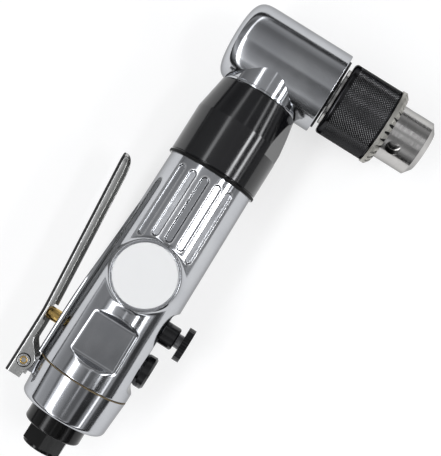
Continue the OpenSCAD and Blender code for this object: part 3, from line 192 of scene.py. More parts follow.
finishes = {
    # tints painted onto the casting: shade on the flutes' walls and a highlight along their rims
    "polished_aluminium": {"colour": (0.56, 0.57, 0.59), "shade": (0.51, 0.52, 0.545), "rough": (0.08, 0.16),
                           "metal": 1, "edge": 0.5, "mottleScale": 60, "marks": (1, 0.25, 1), "marksScale": 260,
                           "wave": 0.03, "waveScale": 110,
                           "tints": {"paintedRimHighlight": (0.8, 0.8, 0.81), "paintedWallShade": (0.06, 0.06, 0.065)}},
    "hand_polished": {"colour": (0.57, 0.58, 0.60), "shade": (0.50, 0.51, 0.535), "rough": (0.07, 0.16), "metal": 1,
                      "edge": 0.5, "mottleScale": 50, "marks": (0.4, 1, 1), "marksScale": 420,
                      "wave": 0.11, "waveScale": 75},
    "white_disc": {"colour": (0.88, 0.88, 0.875), "shade": (0.875, 0.875, 0.87), "rough": (0.34, 0.36),
                   "specular": 0.35},
    "gasket_fibre": {"colour": (0.22, 0.16, 0.08), "shade": (0.12, 0.09, 0.05), "rough": (0.7, 0.9), "bump": 0.05},
    "black_anodised": {"colour": (0.007, 0.007, 0.008), "shade": (0.004, 0.004, 0.005), "rough": (0.1, 0.17),
                       "specular": 0.65, "marks": (1, 0.2, 1), "marksScale": 300},
    "black_oxide": {"colour": (0.007, 0.007, 0.008), "shade": (0.004, 0.004, 0.005), "rough": (0.17, 0.28),
                    "specular": 0.4, "marksScale": 500},
    # black for painted shade in the gear ring's gaps and round the pin's collars, and for the sleeve's dull bead
    # and the head's front ring
    "scallop_black": {"colour": (0.008, 0.008, 0.008), "shade": (0.005, 0.005, 0.005), "rough": (0.5, 0.6),
                      "specular": 0.15},
    # the tint on the knurl's tips is a painted highlight
    "knurl_black": {"colour": (0.05, 0.05, 0.052), "shade": (0.035, 0.035, 0.037), "rough": (0.14, 0.24),
                    "metal": 1, "edge": 0.3, "marksScale": 500, "tints": {"paintedTipHighlight": (0.2, 0.2, 0.2)}},
    "inlet_black": {"colour": (0.006, 0.006, 0.006), "shade": (0.003, 0.003, 0.003), "rough": (0.12, 0.2),
                    "specular": 0.3, "marks": (1, 0.2, 1), "marksScale": 300},
    "lever_plate": {"colour": (0.60, 0.60, 0.59), "shade": (0.54, 0.54, 0.53), "rough": (0.2, 0.3), "metal": 1,
                    "edge": 0.5, "marks": (1, 0.2, 1), "marksScale": 300},
    # a painted dark reflection on the lever's rolled edges
    "lever_back": {"colour": (0.09, 0.09, 0.09), "shade": (0.06, 0.06, 0.06), "rough": (0.25, 0.4), "metal": 1,
                   "edge": 0.2, "marks": (1, 0.2, 1), "marksScale": 300},
    # painted shade on the lever's side walls
    "lever_side": {"colour": (0.33, 0.33, 0.32), "shade": (0.29, 0.29, 0.28), "rough": (0.28, 0.4), "metal": 1,
                   "edge": 0.3, "marks": (1, 0.2, 1), "marksScale": 300},
    "gear_steel": {"colour": (0.46, 0.45, 0.415), "shade": (0.38, 0.37, 0.34), "rough": (0.42, 0.52), "metal": 1,
                   "marksScale": 500},
    "nose_steel": {"colour": (0.60, 0.59, 0.575), "shade": (0.52, 0.51, 0.50), "rough": (0.14, 0.24), "metal": 1,
                   "edge": 0.45, "marks": (6, 1, 1), "marksScale": 200,
                   # painted shade in the bore and the key holes
                   "inside": {"radius": 12.7, "floorAt": 7.95, "floorHalf": 0.6, "tipFrom": 70.3,
                              "colour": (0.03, 0.03, 0.03)}},
    "bright_steel": {"colour": (0.62, 0.62, 0.61), "shade": (0.52, 0.52, 0.51), "rough": (0.18, 0.32), "metal": 1,
                     "marksScale": 500},
    "bearing_steel": {"colour": (0.7, 0.7, 0.72), "shade": (0.62, 0.62, 0.64), "rough": (0.12, 0.18), "metal": 1},
    "dark_steel": {"colour": (0.20, 0.20, 0.205), "shade": (0.13, 0.13, 0.135), "rough": (0.28, 0.42), "metal": 1},
    "brass": {"colour": (0.72, 0.50, 0.18), "shade": (0.60, 0.40, 0.13), "rough": (0.16, 0.28), "metal": 1},
    "rubber": {"colour": (0.02, 0.02, 0.02), "shade": (0.015, 0.015, 0.015), "rough": (0.5, 0.6)},
    "felt": {"colour": (0.2, 0.2, 0.2), "shade": (0.12, 0.12, 0.12), "rough": (0.85, 0.95), "bump": 0.1},
    "vane_composite": {"colour": (0.22, 0.12, 0.06), "shade": (0.15, 0.08, 0.04), "rough": (0.45, 0.6)},
}
# pieces whose look in the photograph differs from what their material slot is named for
ownFinish = {"chuck_body": "nose_steel", "throttle_lever": "lever_plate", "air_inlet": "inlet_black",
             "head_front_ring": "scallop_black", "chuck_gear_ring": "gear_steel"}
materials = {name: makeFinish(name, spec) for name, spec in finishes.items()}
slots = {part["node"]: part["material_slot"] for part in frame["record"]["subparts"]}
for nodeName, obj in nodes.items():
    obj.data.materials.clear()
    obj.data.materials.append(materials[ownFinish.get(nodeName, slots[nodeName])])
print("materials made:", len(materials))


# Mesh helpers. Sizes are in millimetres until a mesh is made.
def makeObject(name, points, faces, material, normals=None, sharpAngle=None):
    mesh = bpy.data.meshes.new(name)
    mesh.from_pydata((np.asarray(points) * mm).tolist(), [], faces)
    mesh.shade_smooth()
    if normals is not None:
        mesh.normals_split_custom_set_from_vertices(np.asarray(normals).tolist())
    if sharpAngle is not None:
        mesh.set_sharp_from_angle(angle=math.radians(sharpAngle))
    mesh.materials.append(materials[material])
    obj = bpy.data.objects.new(name, mesh)
    scene.collection.objects.link(obj)
    return obj


def addShade(obj, name, values):
    # a value for each point, which a finish reads by this name
    layer = obj.data.attributes.new(name, "FLOAT", "POINT")
    layer.data.foreach_set("value", values.astype(np.float32))


def dress(obj, node, body):
    # a piece that takes a CAD node's place and moves with its body
    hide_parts(node)
    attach(obj, body)


def gridFaces(rows, columns, first=0, closedRows=False):
    # quads of a grid whose columns run right round
    faces = []
    for row in range(rows if closedRows else rows - 1):
        here, there = first + row * columns, first + (row + 1) % rows * columns
        for column in range(columns):
            following = (column + 1) % columns
            faces.append((here + column, here + following, there + following, there + column))
    return faces


def roundAngles(count):
    return np.linspace(0, 2 * math.pi, count, endpoint=False)


def roundedProfile(corners, arcSteps=6):
    # corners are (along, radius, rounding) in order round the section
    points = []
    count = len(corners)
    area = sum(corners[k - 1][0] * corners[k][1] - corners[k][0] * corners[k - 1][1] for k in range(count))
    if area > 0:
        corners = corners[::-1]
    for index, (along, radius, rounding) in enumerate(corners):
        here = np.array((along, radius), float)
        before = np.array(corners[index - 1][:2], float) - here
        after = np.array(corners[(index + 1) % count][:2], float) - here
        towardsBefore, towardsAfter = before / np.linalg.norm(before), after / np.linalg.norm(after)
        normalIn = np.array((towardsBefore[1], -towardsBefore[0]))
        normalOut = np.array((-towardsAfter[1], towardsAfter[0]))
        if rounding <= 0:
            points += [(*here, *normalIn), (*here, *normalOut)]
            continue
        halfAngle = math.acos(max(-1, min(1, float(towardsBefore @ towardsAfter)))) / 2
        setBack = rounding / math.tan(halfAngle)
        start = here + towardsBefore * setBack
        crossed = normalIn[0] * normalOut[1] - normalIn[1] * normalOut[0]
        turn = math.atan2(crossed, float(normalIn @ normalOut))
        outward = 1 if turn < 0 else -1
        centre = start - normalIn * rounding * outward
        for step in range(arcSteps + 1):
            angle = turn * step / arcSteps
            normal = np.array((normalIn[0] * math.cos(angle) - normalIn[1] * math.sin(angle),
                               normalIn[0] * math.sin(angle) + normalIn[1] * math.cos(angle)))
            points.append((*(centre + normal * rounding * outward), *normal))
    return points


def placeRound(axis, origin, along, across, up):
    # turns places along, across and above one of the part's axes into its own X, Y and Z
    if axis == "X":
        vectors = (along, up, across)
    elif axis == "Y":
        vectors = (across, along, up)
    else:
        vectors = (up, across, along)
    return np.stack([vector + start for vector, start in zip(vectors, origin)], axis=-1)


def revolve(name, profile, axis, origin, material, segments):
    # each row of the profile is a point (along, radius) and its normal
    profile = np.array(profile)
    angles = roundAngles(segments)
    along, radius, normalAlong, normalRadius = (profile[:, k:k + 1] for k in range(4))
    ones = np.ones((1, segments))
    points = placeRound(axis, origin, along * ones, radius * np.sin(angles), radius * np.cos(angles))
    normals = placeRound(axis, (0, 0, 0), normalAlong * ones, normalRadius * np.sin(angles),
                         normalRadius * np.cos(angles))
    faces = gridFaces(len(profile), segments, closedRows=True)
    return makeObject(name, points.reshape(-1, 3), faces, material, normals.reshape(-1, 3))


def lathe(name, corners, axis, origin, material, segments, arcSteps=6):
    return revolve(name, roundedProfile(corners, arcSteps), axis, origin, material, segments)


def ringCorners(near, far, inner, outer, roundings):
    # the section of a tube: the corners of its near end, then those of its far end
    places = ((near, inner), (near, outer), (far, outer), (far, inner))
    return [(*place, rounding) for place, rounding in zip(places, roundings)]


def eased(share):
    return share * share * (3 - 2 * share)


def blendUnion(first, second, width):
    share = np.clip(0.5 + 0.5 * (second - first) / width, 0, 1)
    return second * (1 - share) + first * share - width * share * (1 - share)


def blendCut(solid, cutter, width):
    return -blendUnion(-solid, cutter, width)


def roundedBox(across, up, halfAcross, halfUp, rounding):
    first, second = np.abs(across) - halfAcross + rounding, np.abs(up) - halfUp + rounding
    outside = np.hypot(np.maximum(first, 0), np.maximum(second, 0))
    return outside + np.minimum(np.maximum(first, second), 0) - rounding


# A skin is its points, its normals and its faces
def fieldSkin(field, stations, columns, search):
    # finds where a distance field crosses zero on rays out of the handle's axis, and its slope there
    halvings, step = 24, 0.03
    angle, station = np.meshgrid(roundAngles(columns), stations)
    across, up = np.sin(angle), np.cos(angle)
    inner, outer = (np.full(angle.shape, radius) for radius in search)
    for _ in range(halvings):
        middle = (inner + outer) / 2
        isInside = field(middle * across, station, middle * up) < 0
        inner, outer = np.where(isInside, middle, inner), np.where(isInside, outer, middle)
    points = np.stack((inner * across, station, inner * up), axis=-1)
    slopes = []
    for axis in range(3):
        ahead, behind = points.copy(), points.copy()
        ahead[..., axis] += step
        behind[..., axis] -= step
        slopes.append(field(*np.moveaxis(ahead, -1, 0)) - field(*np.moveaxis(behind, -1, 0)))
    normals = np.stack(slopes, axis=-1)
    normals /= np.linalg.norm(normals, axis=-1, keepdims=True)
    return points.reshape(-1, 3), normals.reshape(-1, 3), gridFaces(len(stations), columns)


def circleAt(height, radius, columns):
    angles = roundAngles(columns)
    return np.stack((radius * np.sin(angles), np.full(columns, height), radius * np.cos(angles)), axis=-1)


def addBand(skin, one, other, normal, outward):
    # faces between two rings of points, with corners of their own so that the edge stays crisp
    points, normals, faces = skin
    strip = gridFaces(2, len(one), len(points))
    faces = faces + [face if outward > 0 else face[::-1] for face in strip]
    return np.concatenate((points, one, other)), np.concatenate((normals, normal, normal)), faces


def addEnd(skin, ring, radius, height, outward, columns):
    # the flat end of a skin, from its last ring of points in to a round hole
    rim = skin[0][ring:ring + columns]
    normal = np.tile((0.0, outward, 0.0), (columns, 1))
    return addBand(skin, rim, circleAt(height, radius, columns), normal, outward)


def addPocket(skin, ring, bore, height, columns):
    # a bore in the end of a skin: its mouth's flat ring, its wall and its floor
    radius, floor = bore["radius"], bore["floor"]
    outward = 1 if height > floor else -1
    skin = addEnd(skin, ring, radius, height, outward, columns)
    mouth, low, middle = (circleAt(*place, columns) for place in ((height, radius), (floor, radius),
                                                                  (floor, radius / 100)))
    skin = addBand(skin, mouth, low, circleAt(0, -1, columns), outward)
    return addBand(skin, low, middle, np.tile((0.0, outward, 0.0), (columns, 1)), outward)


print("helpers ready")


# Motor housing: a tapered barrel with a lever rib, a nameplate boss, flats and flutes, blended as cast metal is
housing = {"bottom": 36.1, "top": 140.5, "bottomRadius": 21.5, "topRadius": 20.35, "edgeRound": 0.6,
           "rib": {"reach": 23.15, "half": 5.6, "round": 0.6, "fillet": 2.2, "bendAt": 68, "slope": 0.078,
                   "ease": 8, "fadeFrom": 108, "fadeTo": 130, "leastFade": 0.08},
           "plateY": 88.7, "boss": {"radius": 15.1, "top": 21.35, "fillet": 2.2},
           "recess": {"radius": 14.03, "floor": 21.1},
           "valveFace": {"x": 18.9, "from": 40.6, "to": 81.6, "round": 3, "soft": 0.5, "halfDepth": 30},
           "wrenchFlat": {"z": 18.4, "from": 46.5, "to": 65.5, "runOut": 0.84, "soft": 0.7},
           "flutes": {"top": 137.5, "half": 1.95, "corner": 1.9, "depth": 0.85, "step": 17.6, "middle": 0.4,
                      "wall": 0.7, "draft": 0.97, "floorSlope": 0.011, "lengths": (35.6, 32.8, 32.2, 32.8, 35.6),
                      # strength of the painted wall shade, and where and how wide the painted rim highlight lies
                      "wallShade": 0.85, "rimHighlightAt": 0.3, "rimHighlightWidth": 0.3},
           "inletBore": {"radius": 9.1, "floor": 44}, "motorBore": {"radius": 17.1, "floor": 85.5},
           "columns": 600, "rowStep": 0.34, "search": (15, 28)}


def housingRadius(y):
    share = (y - housing["bottom"]) / (housing["top"] - housing["bottom"])
    radius = housing["bottomRadius"] + (housing["topRadius"] - housing["bottomRadius"]) * share
    size = housing["edgeRound"]
    fromEnd = np.clip(size - (y - housing["bottom"]), 0, size)
    return radius - size + np.sqrt(size * size - fromEnd * fromEnd)


def eachFlute(x, y, z):
    # gives a flute's side and turn, how far each point lies outside its rim, and whether the point faces its way
    flutes = housing["flutes"]
    lengths = flutes["lengths"]
    arcRadius = float(housingRadius(flutes["top"] - lengths[0] / 2))
    for side in (0, math.pi):
        for index, length in enumerate(lengths):
            turn = math.radians(flutes["middle"] + (index - (len(lengths) - 1) / 2) * flutes["step"])
            sine, cosine = math.sin(side + turn), math.cos(side + turn)
            facing = x * sine + z * cosine
            # measured as an arc, so that a flute's edges follow the columns of the mesh
            sideways = np.arctan2(x * cosine - z * sine, facing) * arcRadius
            fromMiddle = y - flutes["top"] + length / 2
            rim = roundedBox(sideways, fromMiddle, flutes["half"], length / 2, flutes["corner"])
            yield side, turn, rim, facing > 0


def fluteCut(x, y, z, body):
    # each flute is a slot with a flat floor and drafted walls: the share runs from 0 on its rim to 1 on its floor
    flutes = housing["flutes"]
    field, share = body, np.zeros(np.shape(x))
    floor = float(housingRadius(flutes["top"])) - flutes["depth"]
    for side, turn, rim, isFacing in eachFlute(x, y, z):
        floorAngle = side + turn * flutes["draft"]
        outward = x * math.sin(floorAngle) + z * math.cos(floorAngle)
        level = floor * math.cos(side + turn - floorAngle) + (flutes["top"] - y) * flutes["floorSlope"]
        deep = eased(np.clip(-rim / flutes["wall"], 0, 1) * isFacing)
        field = field + deep * np.maximum(outward - level - field, 0)
        share = np.maximum(share, deep)
    return field, share


def fluteLip(x, y, z):
    # how far each point lies outside the nearest flute's rim
    nearest = np.full(np.shape(x), np.inf)
    for _, _, rim, isFacing in eachFlute(x, y, z):
        nearest = np.where(isFacing, np.minimum(nearest, rim), nearest)
    return nearest


def housingField(x, y, z):
    rib, boss, recess = housing["rib"], housing["boss"], housing["recess"]
    past = y - rib["bendAt"]
    reach = rib["reach"] - rib["slope"] * (np.hypot(past, rib["ease"]) + past) / 2
    ribBox = roundedBox(x + reach / 2, z, reach / 2, rib["half"], rib["round"])
    fade = np.clip((rib["fadeTo"] - y) / (rib["fadeTo"] - rib["fadeFrom"]), rib["leastFade"], 1)
    field = blendUnion(np.hypot(x, z) - housingRadius(y), ribBox, rib["fillet"] * fade)
    fromPlate = np.hypot(x, y - housing["plateY"])
    bossSolid = np.maximum(np.maximum(fromPlate - boss["radius"], z - boss["top"]), -z)
    field = blendUnion(field, bossSolid, boss["fillet"])
    field = np.maximum(field, -np.maximum(fromPlate - recess["radius"], recess["floor"] - z))
    face = housing["valveFace"]
    middle, half, depth = (face["from"] + face["to"]) / 2, (face["to"] - face["from"]) / 2, face["halfDepth"]
    faceCut = roundedBox(y - middle, x - face["x"] - depth, half, depth, face["round"])
    field = blendCut(field, faceCut, face["soft"])
    flat = housing["wrenchFlat"]
    lean = math.hypot(1, flat["runOut"])
    for side in (-1, 1):
        rise = side * z - flat["z"]
        ends = np.maximum(flat["from"] - y, y - flat["to"]) - rise * flat["runOut"]
        field = blendCut(field, blendCut(-rise, -ends / lean, flat["soft"]), flat["soft"])
    return fluteCut(x, y, z, field)[0]


def makeHousing():
    bottom, top, columns = housing["bottom"], housing["top"], housing["columns"]
    rows = round((top - bottom) / housing["rowStep"])
    skin = fieldSkin(housingField, np.linspace(bottom, top, rows), columns, housing["search"])
    skin = addPocket(skin, 0, housing["inletBore"], bottom, columns)
    points, normals, faces = addPocket(skin, (rows - 1) * columns, housing["motorBore"], top, columns)
    casting = makeObject("castHousing", points, faces, "polished_aluminium", normals)
    # the drafted walls of the flutes are painted dark as shade, and the rims round them are painted bright as a
    # highlight
    flutes = housing["flutes"]
    share = fluteCut(*points.T, np.zeros(len(points)))[1]
    fromRimHighlight = (fluteLip(*points.T) - flutes["rimHighlightAt"]) / flutes["rimHighlightWidth"]
    addShade(casting, "paintedWallShade", 4 * share * (1 - share) * flutes["wallShade"])
    addShade(casting, "paintedRimHighlight", np.exp(-fromRimHighlight ** 2))
    dress(casting, "motor_housing", "housing")


makeHousing()

# Turned ring round the nameplate, and the bare plate itself
plate = {"rimInner": 13.98, "rimOuter": 15.2, "rimLow": 19.6, "rimTop": 21.9, "rimRound": 0.38,
         "rimColumns": 192, "radius": 13.9, "low": 21.2, "top": 21.6, "edge": 0.12, "columns": 160}


def makeNameplate():
    centre = (0, housing["plateY"], 0)
    corners = ringCorners(plate["rimLow"], plate["rimTop"], plate["rimInner"], plate["rimOuter"],
                          (0, 0, plate["rimRound"], plate["rimRound"]))
    rim = lathe("nameplateRim", corners, "Z", centre, "polished_aluminium", plate["rimColumns"])
    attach(rim, "housing")
    corners = ringCorners(plate["low"], plate["top"], pinhole, plate["radius"], (0, 0, plate["edge"], 0))
    disc = lathe("nameplateDisc", corners, "Z", centre, "white_disc", plate["columns"])
    dress(disc, "nameplate", "housing")


makeNameplate()
print("housing and nameplate made")


# Coupling sleeve: a straight barrel, a cone above it, a groove and a dull bead at its foot, and two wrench flats
sleeve = {"bottom": 140.5, "top": 180.6, "coneFrom": 164.5, "radius": 21.35, "topRadius": 18.6, "edge": 0.4,
          "groove": {"at": 142.25, "half": 0.42, "depth": 0.6}, "bead": 0.25, "beadFrom": 20.7,
          "flat": {"distance": 19.2, "from": 159.5, "turn": math.radians(18), "soft": 0.12},
          "lowBore": {"radius": 18.95, "floor": 158}, "highBore": {"radius": 13.1, "floor": 171},
          "columns": 320, "rowStep": 0.5, "search": (15, 28)}


def sleeveField(x, y, z):
    groove, flat, edge = sleeve["groove"], sleeve["flat"], sleeve["edge"]
    rise = np.clip((y - sleeve["coneFrom"]) / (sleeve["top"] - sleeve["coneFrom"]), 0, 1)
    radius = sleeve["radius"] + (sleeve["topRadius"] - sleeve["radius"]) * rise
    radius = radius - groove["depth"] * np.clip(1 - np.abs(y - groove["at"]) / groove["half"], 0, 1)
    radius = radius + sleeve["bead"] * (y < groove["at"] - groove["half"])
    fromEnd = np.clip(edge - np.minimum(y - sleeve["bottom"], sleeve["top"] - y), 0, edge)
    radius = radius - edge + np.sqrt(edge ** 2 - fromEnd ** 2)
    outward = np.abs(x * math.cos(flat["turn"]) + z * math.sin(flat["turn"]))
    flatCut = np.maximum(flat["distance"] - outward, flat["from"] - y)
    return blendCut(np.hypot(x, z) - radius, flatCut, flat["soft"])


def sleeveStations():
    # the rows of points lie closer together where the outline turns
    bottom, top, groove = sleeve["bottom"], sleeve["top"], sleeve["groove"]
    nearEnd = np.arange(5) * 0.1
    nearGroove = np.array((-1.1, -1, -0.6, 0, 0.6, 1, 1.1)) * groove["half"]
    nearCone, nearFlat = np.array((-0.06, 0.06)), np.array((-0.08, 0, 0.08))
    between = np.arange(bottom + 0.7, top - 0.5, sleeve["rowStep"])
    places = (bottom + nearEnd, top - nearEnd, groove["at"] + nearGroove, sleeve["coneFrom"] + nearCone,
              sleeve["flat"]["from"] + nearFlat, between)
    return np.unique(np.round(np.concatenate(places), 3))


def makeSleeve():
    stations, columns = sleeveStations(), sleeve["columns"]
    lastRow = (len(stations) - 1) * columns
    skin = fieldSkin(sleeveField, stations, columns, sleeve["search"])
    skin = addPocket(skin, 0, sleeve["lowBore"], sleeve["bottom"], columns)
    points, normals, faces = addPocket(skin, lastRow, sleeve["highBore"], sleeve["top"], columns)
    barrel = makeObject("couplingSleeve", points, faces, "black_anodised", normals)
    barrel.data.materials.append(materials["scallop_black"])
    beadTop = sleeve["groove"]["at"] - sleeve["groove"]["half"]
    for face in barrel.data.polygons:
        place = face.center / mm
        isBead = sleeve["bottom"] < place.y < beadTop and math.hypot(place.x, place.z) > sleeve["beadFrom"]
        face.material_index = int(isBead)
    dress(barrel, "coupling_sleeve", "housing")


makeSleeve()

# Angle head: a barrel with a domed back, and a neck that meets it in a crisp saddle
head = {"back": -23.8, "front": 25.5, "radius": 19.15, "domeLength": 13, "domePower": 4.3, "domeRows": 60,
        "frontEdge": 0.5, "boreEdge": 0.3, "boreRadius": 15.3, "boreTo": -15, "edgeSteps": 12,
        "neckFoot": 180.85, "neckRadius": 17.3, "neckBore": 12.8, "neckCorner": 0.08,
        "lipRadius": 17.9, "lipLength": 1.4, "lipEdge": 0.5, "lipSteps": 8, "columns": 256}


def domeProfile():
    # a superellipse, whose curve grows out of the barrel without an edge
    length, power, radius = head["domeLength"], head["domePower"], head["radius"]
    rows = [(head["back"], pinhole, -1.0, 0.0)]
    for step in range(head["domeRows"] + 1):
        angle = math.pi / 2 * max(0.004, step / head["domeRows"])
        inward, outward = math.cos(angle) ** (2 / power), math.sin(angle) ** (2 / power)
        normal = np.array((-inward ** (power - 1) / length, outward ** (power - 1) / radius))
        rows.append((head["back"] + length * (1 - inward), radius * outward, *(normal / np.linalg.norm(normal))))
    return rows


def makeHead():
    back, front, radius = head["back"], head["front"], head["radius"]
    boreTo, bore, foot, neckBore = head["boreTo"], head["boreRadius"], head["neckFoot"], head["neckBore"]
    corners = [(front, radius, head["frontEdge"]), (front, bore, head["boreEdge"]), (boreTo, bore, 0),
               (boreTo, pinhole, 0), (back, pinhole, 0), (back, radius, 0)]
    mouth = [row for row in roundedProfile(corners, head["edgeSteps"]) if row[0] > boreTo - 0.01]
    profile = domeProfile() + mouth
    barrel = revolve("angleHead", profile, "X", (0, spindleY, 0), "hand_polished", head["columns"])
    dress(barrel, "angle_head", "housing")
    lipTop = foot + head["lipLength"]
    corners = [(foot, neckBore, 0), (foot, head["lipRadius"], head["lipEdge"]),
               (lipTop, head["lipRadius"], head["lipEdge"]), (lipTop, head["neckRadius"], head["neckCorner"]),
               (spindleY, head["neckRadius"], 0), (spindleY, neckBore, 0)]
    neck = lathe("headNeck", corners, "Y", (0, 0, 0), "hand_polished", head["columns"], head["lipSteps"])
    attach(neck, "housing")


makeHead()
print("sleeve and head made")

# Chuck sleeve: a diamond knurl cut into a black steel barrel with a rounded rear edge
knurl = {"rear": 28.4, "front": 52.3, "radius": 17.4, "edge": 1.6, "edgeSteps": 8, "chamfer": 0.25,
         "inner": 13.2, "diamonds": 84, "depth": 0.24, "tipHighlightFrom": 0.9, "plainRear": 1.2, "plainFront": 0.9,
         "sharp": 24}


def knurlRows():
    # each row is a place along the chuck, a radius, and a count that is 0 where the barrel is plain
    rear, front, radius, edge = knurl["rear"], knurl["front"], knurl["radius"], knurl["edge"]
    rows = [(rear, knurl["inner"], 0)]
    for step in range(knurl["edgeSteps"], -1, -1):
        angle = math.pi / 2 * step / knurl["edgeSteps"]
        rows.append((rear + edge * (1 - math.sin(angle)), radius - edge * (1 - math.cos(angle)), 0))
    start, end = rear + edge + knurl["plainRear"], front - knurl["plainFront"]
    pitch = 2 * math.pi * radius / (knurl["diamonds"] * 4)
    rows += [(start + k * pitch, radius, k + 1) for k in range(int((end - start) / pitch) + 1)]
    chamfer = knurl["chamfer"]
    return rows + [(end + 0.1, radius, 0), (front - chamfer, radius, 0), (front, radius - chamfer, 0),
                   (front, knurl["inner"], 0)]


def makeChuckSleeve():
    rows, column = knurlRows(), np.arange(knurl["diamonds"] * 4)
    angles = roundAngles(len(column))
    points, highlightTips = [], []
    for along, radius, step in rows:
        up, down = (column + step) % 4, (column - step) % 4
        height = np.minimum(np.minimum(up, 4 - up), np.minimum(down, 4 - down)) / 2
        radii = radius - knurl["depth"] * (1 - height) * (step > 0)
        # the tips of the diamonds get a painted highlight
        highlightTips.append((height > knurl["tipHighlightFrom"]) * (step > 0))
        points.append(placeRound("X", (0, spindleY, 0), np.full(len(column), along), radii * np.sin(angles),
                                 radii * np.cos(angles)))
    faces = gridFaces(len(rows), len(column), closedRows=True)
    barrel = makeObject("knurledSleeve", np.concatenate(points), faces, "knurl_black", None, knurl["sharp"])
    addShade(barrel, "paintedTipHighlight", np.concatenate(highlightTips))
    dress(barrel, "chuck_sleeve", "chuck_sleeve")


makeChuckSleeve()

# Gear ring: pale teeth with long gaps between them, cut across its chamfered front edge, and the faces deep in the
# gaps painted black as shade
gear = {"rear": 52.4, "front": 56, "radius": 18, "frontRadius": 16.2, "chamferFrom": 54.4, "inner": 13.15,
        "gap": {"from": 54.25, "half": 0.62, "widening": 0.16, "floor": 16.3, "floorSlope": 0.5, "soft": 0.06},
        "teeth": 30, "paintedShadeFrom": 0.16, "columns": 720, "rows": 26, "search": (13.5, 19)}


def gearBody(x, y, z):
    fall = np.clip((y - gear["chamferFrom"]) / (gear["front"] - gear["chamferFrom"]), 0, 1)
    return np.hypot(x, z) - gear["radius"] + (gear["radius"] - gear["frontRadius"]) * fall


def gearField(x, y, z):
    gap, pitch = gear["gap"], 2 * math.pi / gear["teeth"]
    angle = (np.arctan2(x, z) + pitch / 2) % pitch - pitch / 2
    radial, sideways = np.hypot(x, z) * np.cos(angle), np.hypot(x, z) * np.sin(angle)
    past = y - gap["from"]
    outline = np.hypot(sideways, np.minimum(past, 0)) - gap["half"] - gap["widening"] * np.maximum(past, 0)
    cutter = np.maximum(outline, gap["floor"] - gap["floorSlope"] * np.maximum(past, 0) - radial)
    return blendCut(gearBody(x, y, z), cutter, gap["soft"])


def makeGearRing():
    rear, front, columns = gear["rear"], gear["front"], gear["columns"]
    stations = np.concatenate(([rear, rear + 0.1], np.linspace(rear + 0.5, front, gear["rows"])))
    skin = fieldSkin(gearField, stations, columns, gear["search"])
    # faces deep in the gaps get black as painted shade
    isCut = gearBody(*skin[0].T) < -gear["paintedShadeFrom"]
    paintedShadeFaces = [bool(isCut[list(face)].all()) for face in skin[2]]
    skin = addEnd(skin, 0, gear["inner"], rear, -1, columns)
    points, normals, faces = addEnd(skin, (len(stations) - 1) * columns, gear["inner"], front, 1, columns)
    # along Y becomes along X, at the chuck's axis
    points = points[:, (1, 2, 0)] + np.array((0, spindleY, 0))
    ring = makeObject("gearRing", points, faces, "gear_steel", normals[:, (1, 2, 0)])
    ring.data.materials.append(materials["scallop_black"])
    for face, isPaintedShade in zip(ring.data.polygons, paintedShadeFaces):
        face.material_index = int(isPaintedShade)
    dress(ring, "chuck_gear_ring", "chuck_sleeve")


makeGearRing()
print("chuck sleeve and gear ring made")


# Lever: bent sheet with two side walls, ears round the pin, a notch for the stem and a rounded tip
lever = {"pin": (-25.9, 29.5), "back": -31.0, "foot": 22.1, "bend": 52.2, "lean": math.radians(4.9), "ease": 3,
         "tip": 129.5, "tipRound": 9, "tipWidth": 4.5, "tipLip": 0.5, "sheet": 1.2, "half": 7, "corner": 1.9,
         "wall": 3.9, "tipWall": 4.2, "taper": 60, "notch": 3.5, "notchWall": 1.1,
         "ear": 4.4, "earFoot": 0.55, "earFlat": 1.6, "earTop": 39.9, "earStraight": 0.35,
         "edge": 0.28, "edgeCut": 0.3, "brightStrip": 0.8, "sideFrom": 0.64, "rolled": (-0.95, -0.25), "sharp": 13}


def leverBack(y):
    past = y - lever["bend"]
    return lever["back"] - math.tan(lever["lean"]) * (math.hypot(past, lever["ease"]) + past) / 2


def leverDepth(y):
    # how far the side walls reach in from the back
    pinX, pinY = lever["pin"]
    backX, earTop = leverBack(y), pinY + lever["earFlat"]
    fromBend = max(0, min(1, (y - lever["bend"]) / lever["taper"]))
    straight = lever["wall"] + (lever["tipWall"] - lever["wall"]) * fromBend
    full = pinX + lever["ear"] - backX
    if y > lever["tip"] - lever["tipRound"]:
        share = (y - lever["tip"] + lever["tipRound"]) / lever["tipRound"]
        least = lever["sheet"] + lever["tipLip"]
        return least + (straight - least) * math.sqrt(max(0, 1 - share * share))
    if abs(y - lever["bend"]) < lever["notch"]:
        return lever["sheet"] + lever["notchWall"]
    if y < pinY:
        ear = pinX + math.sqrt(max(0, lever["ear"] ** 2 - (y - pinY) ** 2)) - backX
        return max(ear, pinX + lever["ear"] * lever["earFoot"] - backX)
    if y < earTop:
        return full
    if y < lever["earTop"]:
        share = (y - earTop) / (lever["earTop"] - earTop)
        fall = lever["earStraight"] * share + (1 - lever["earStraight"]) * eased(share)
        return full + (straight - full) * fall
    return straight


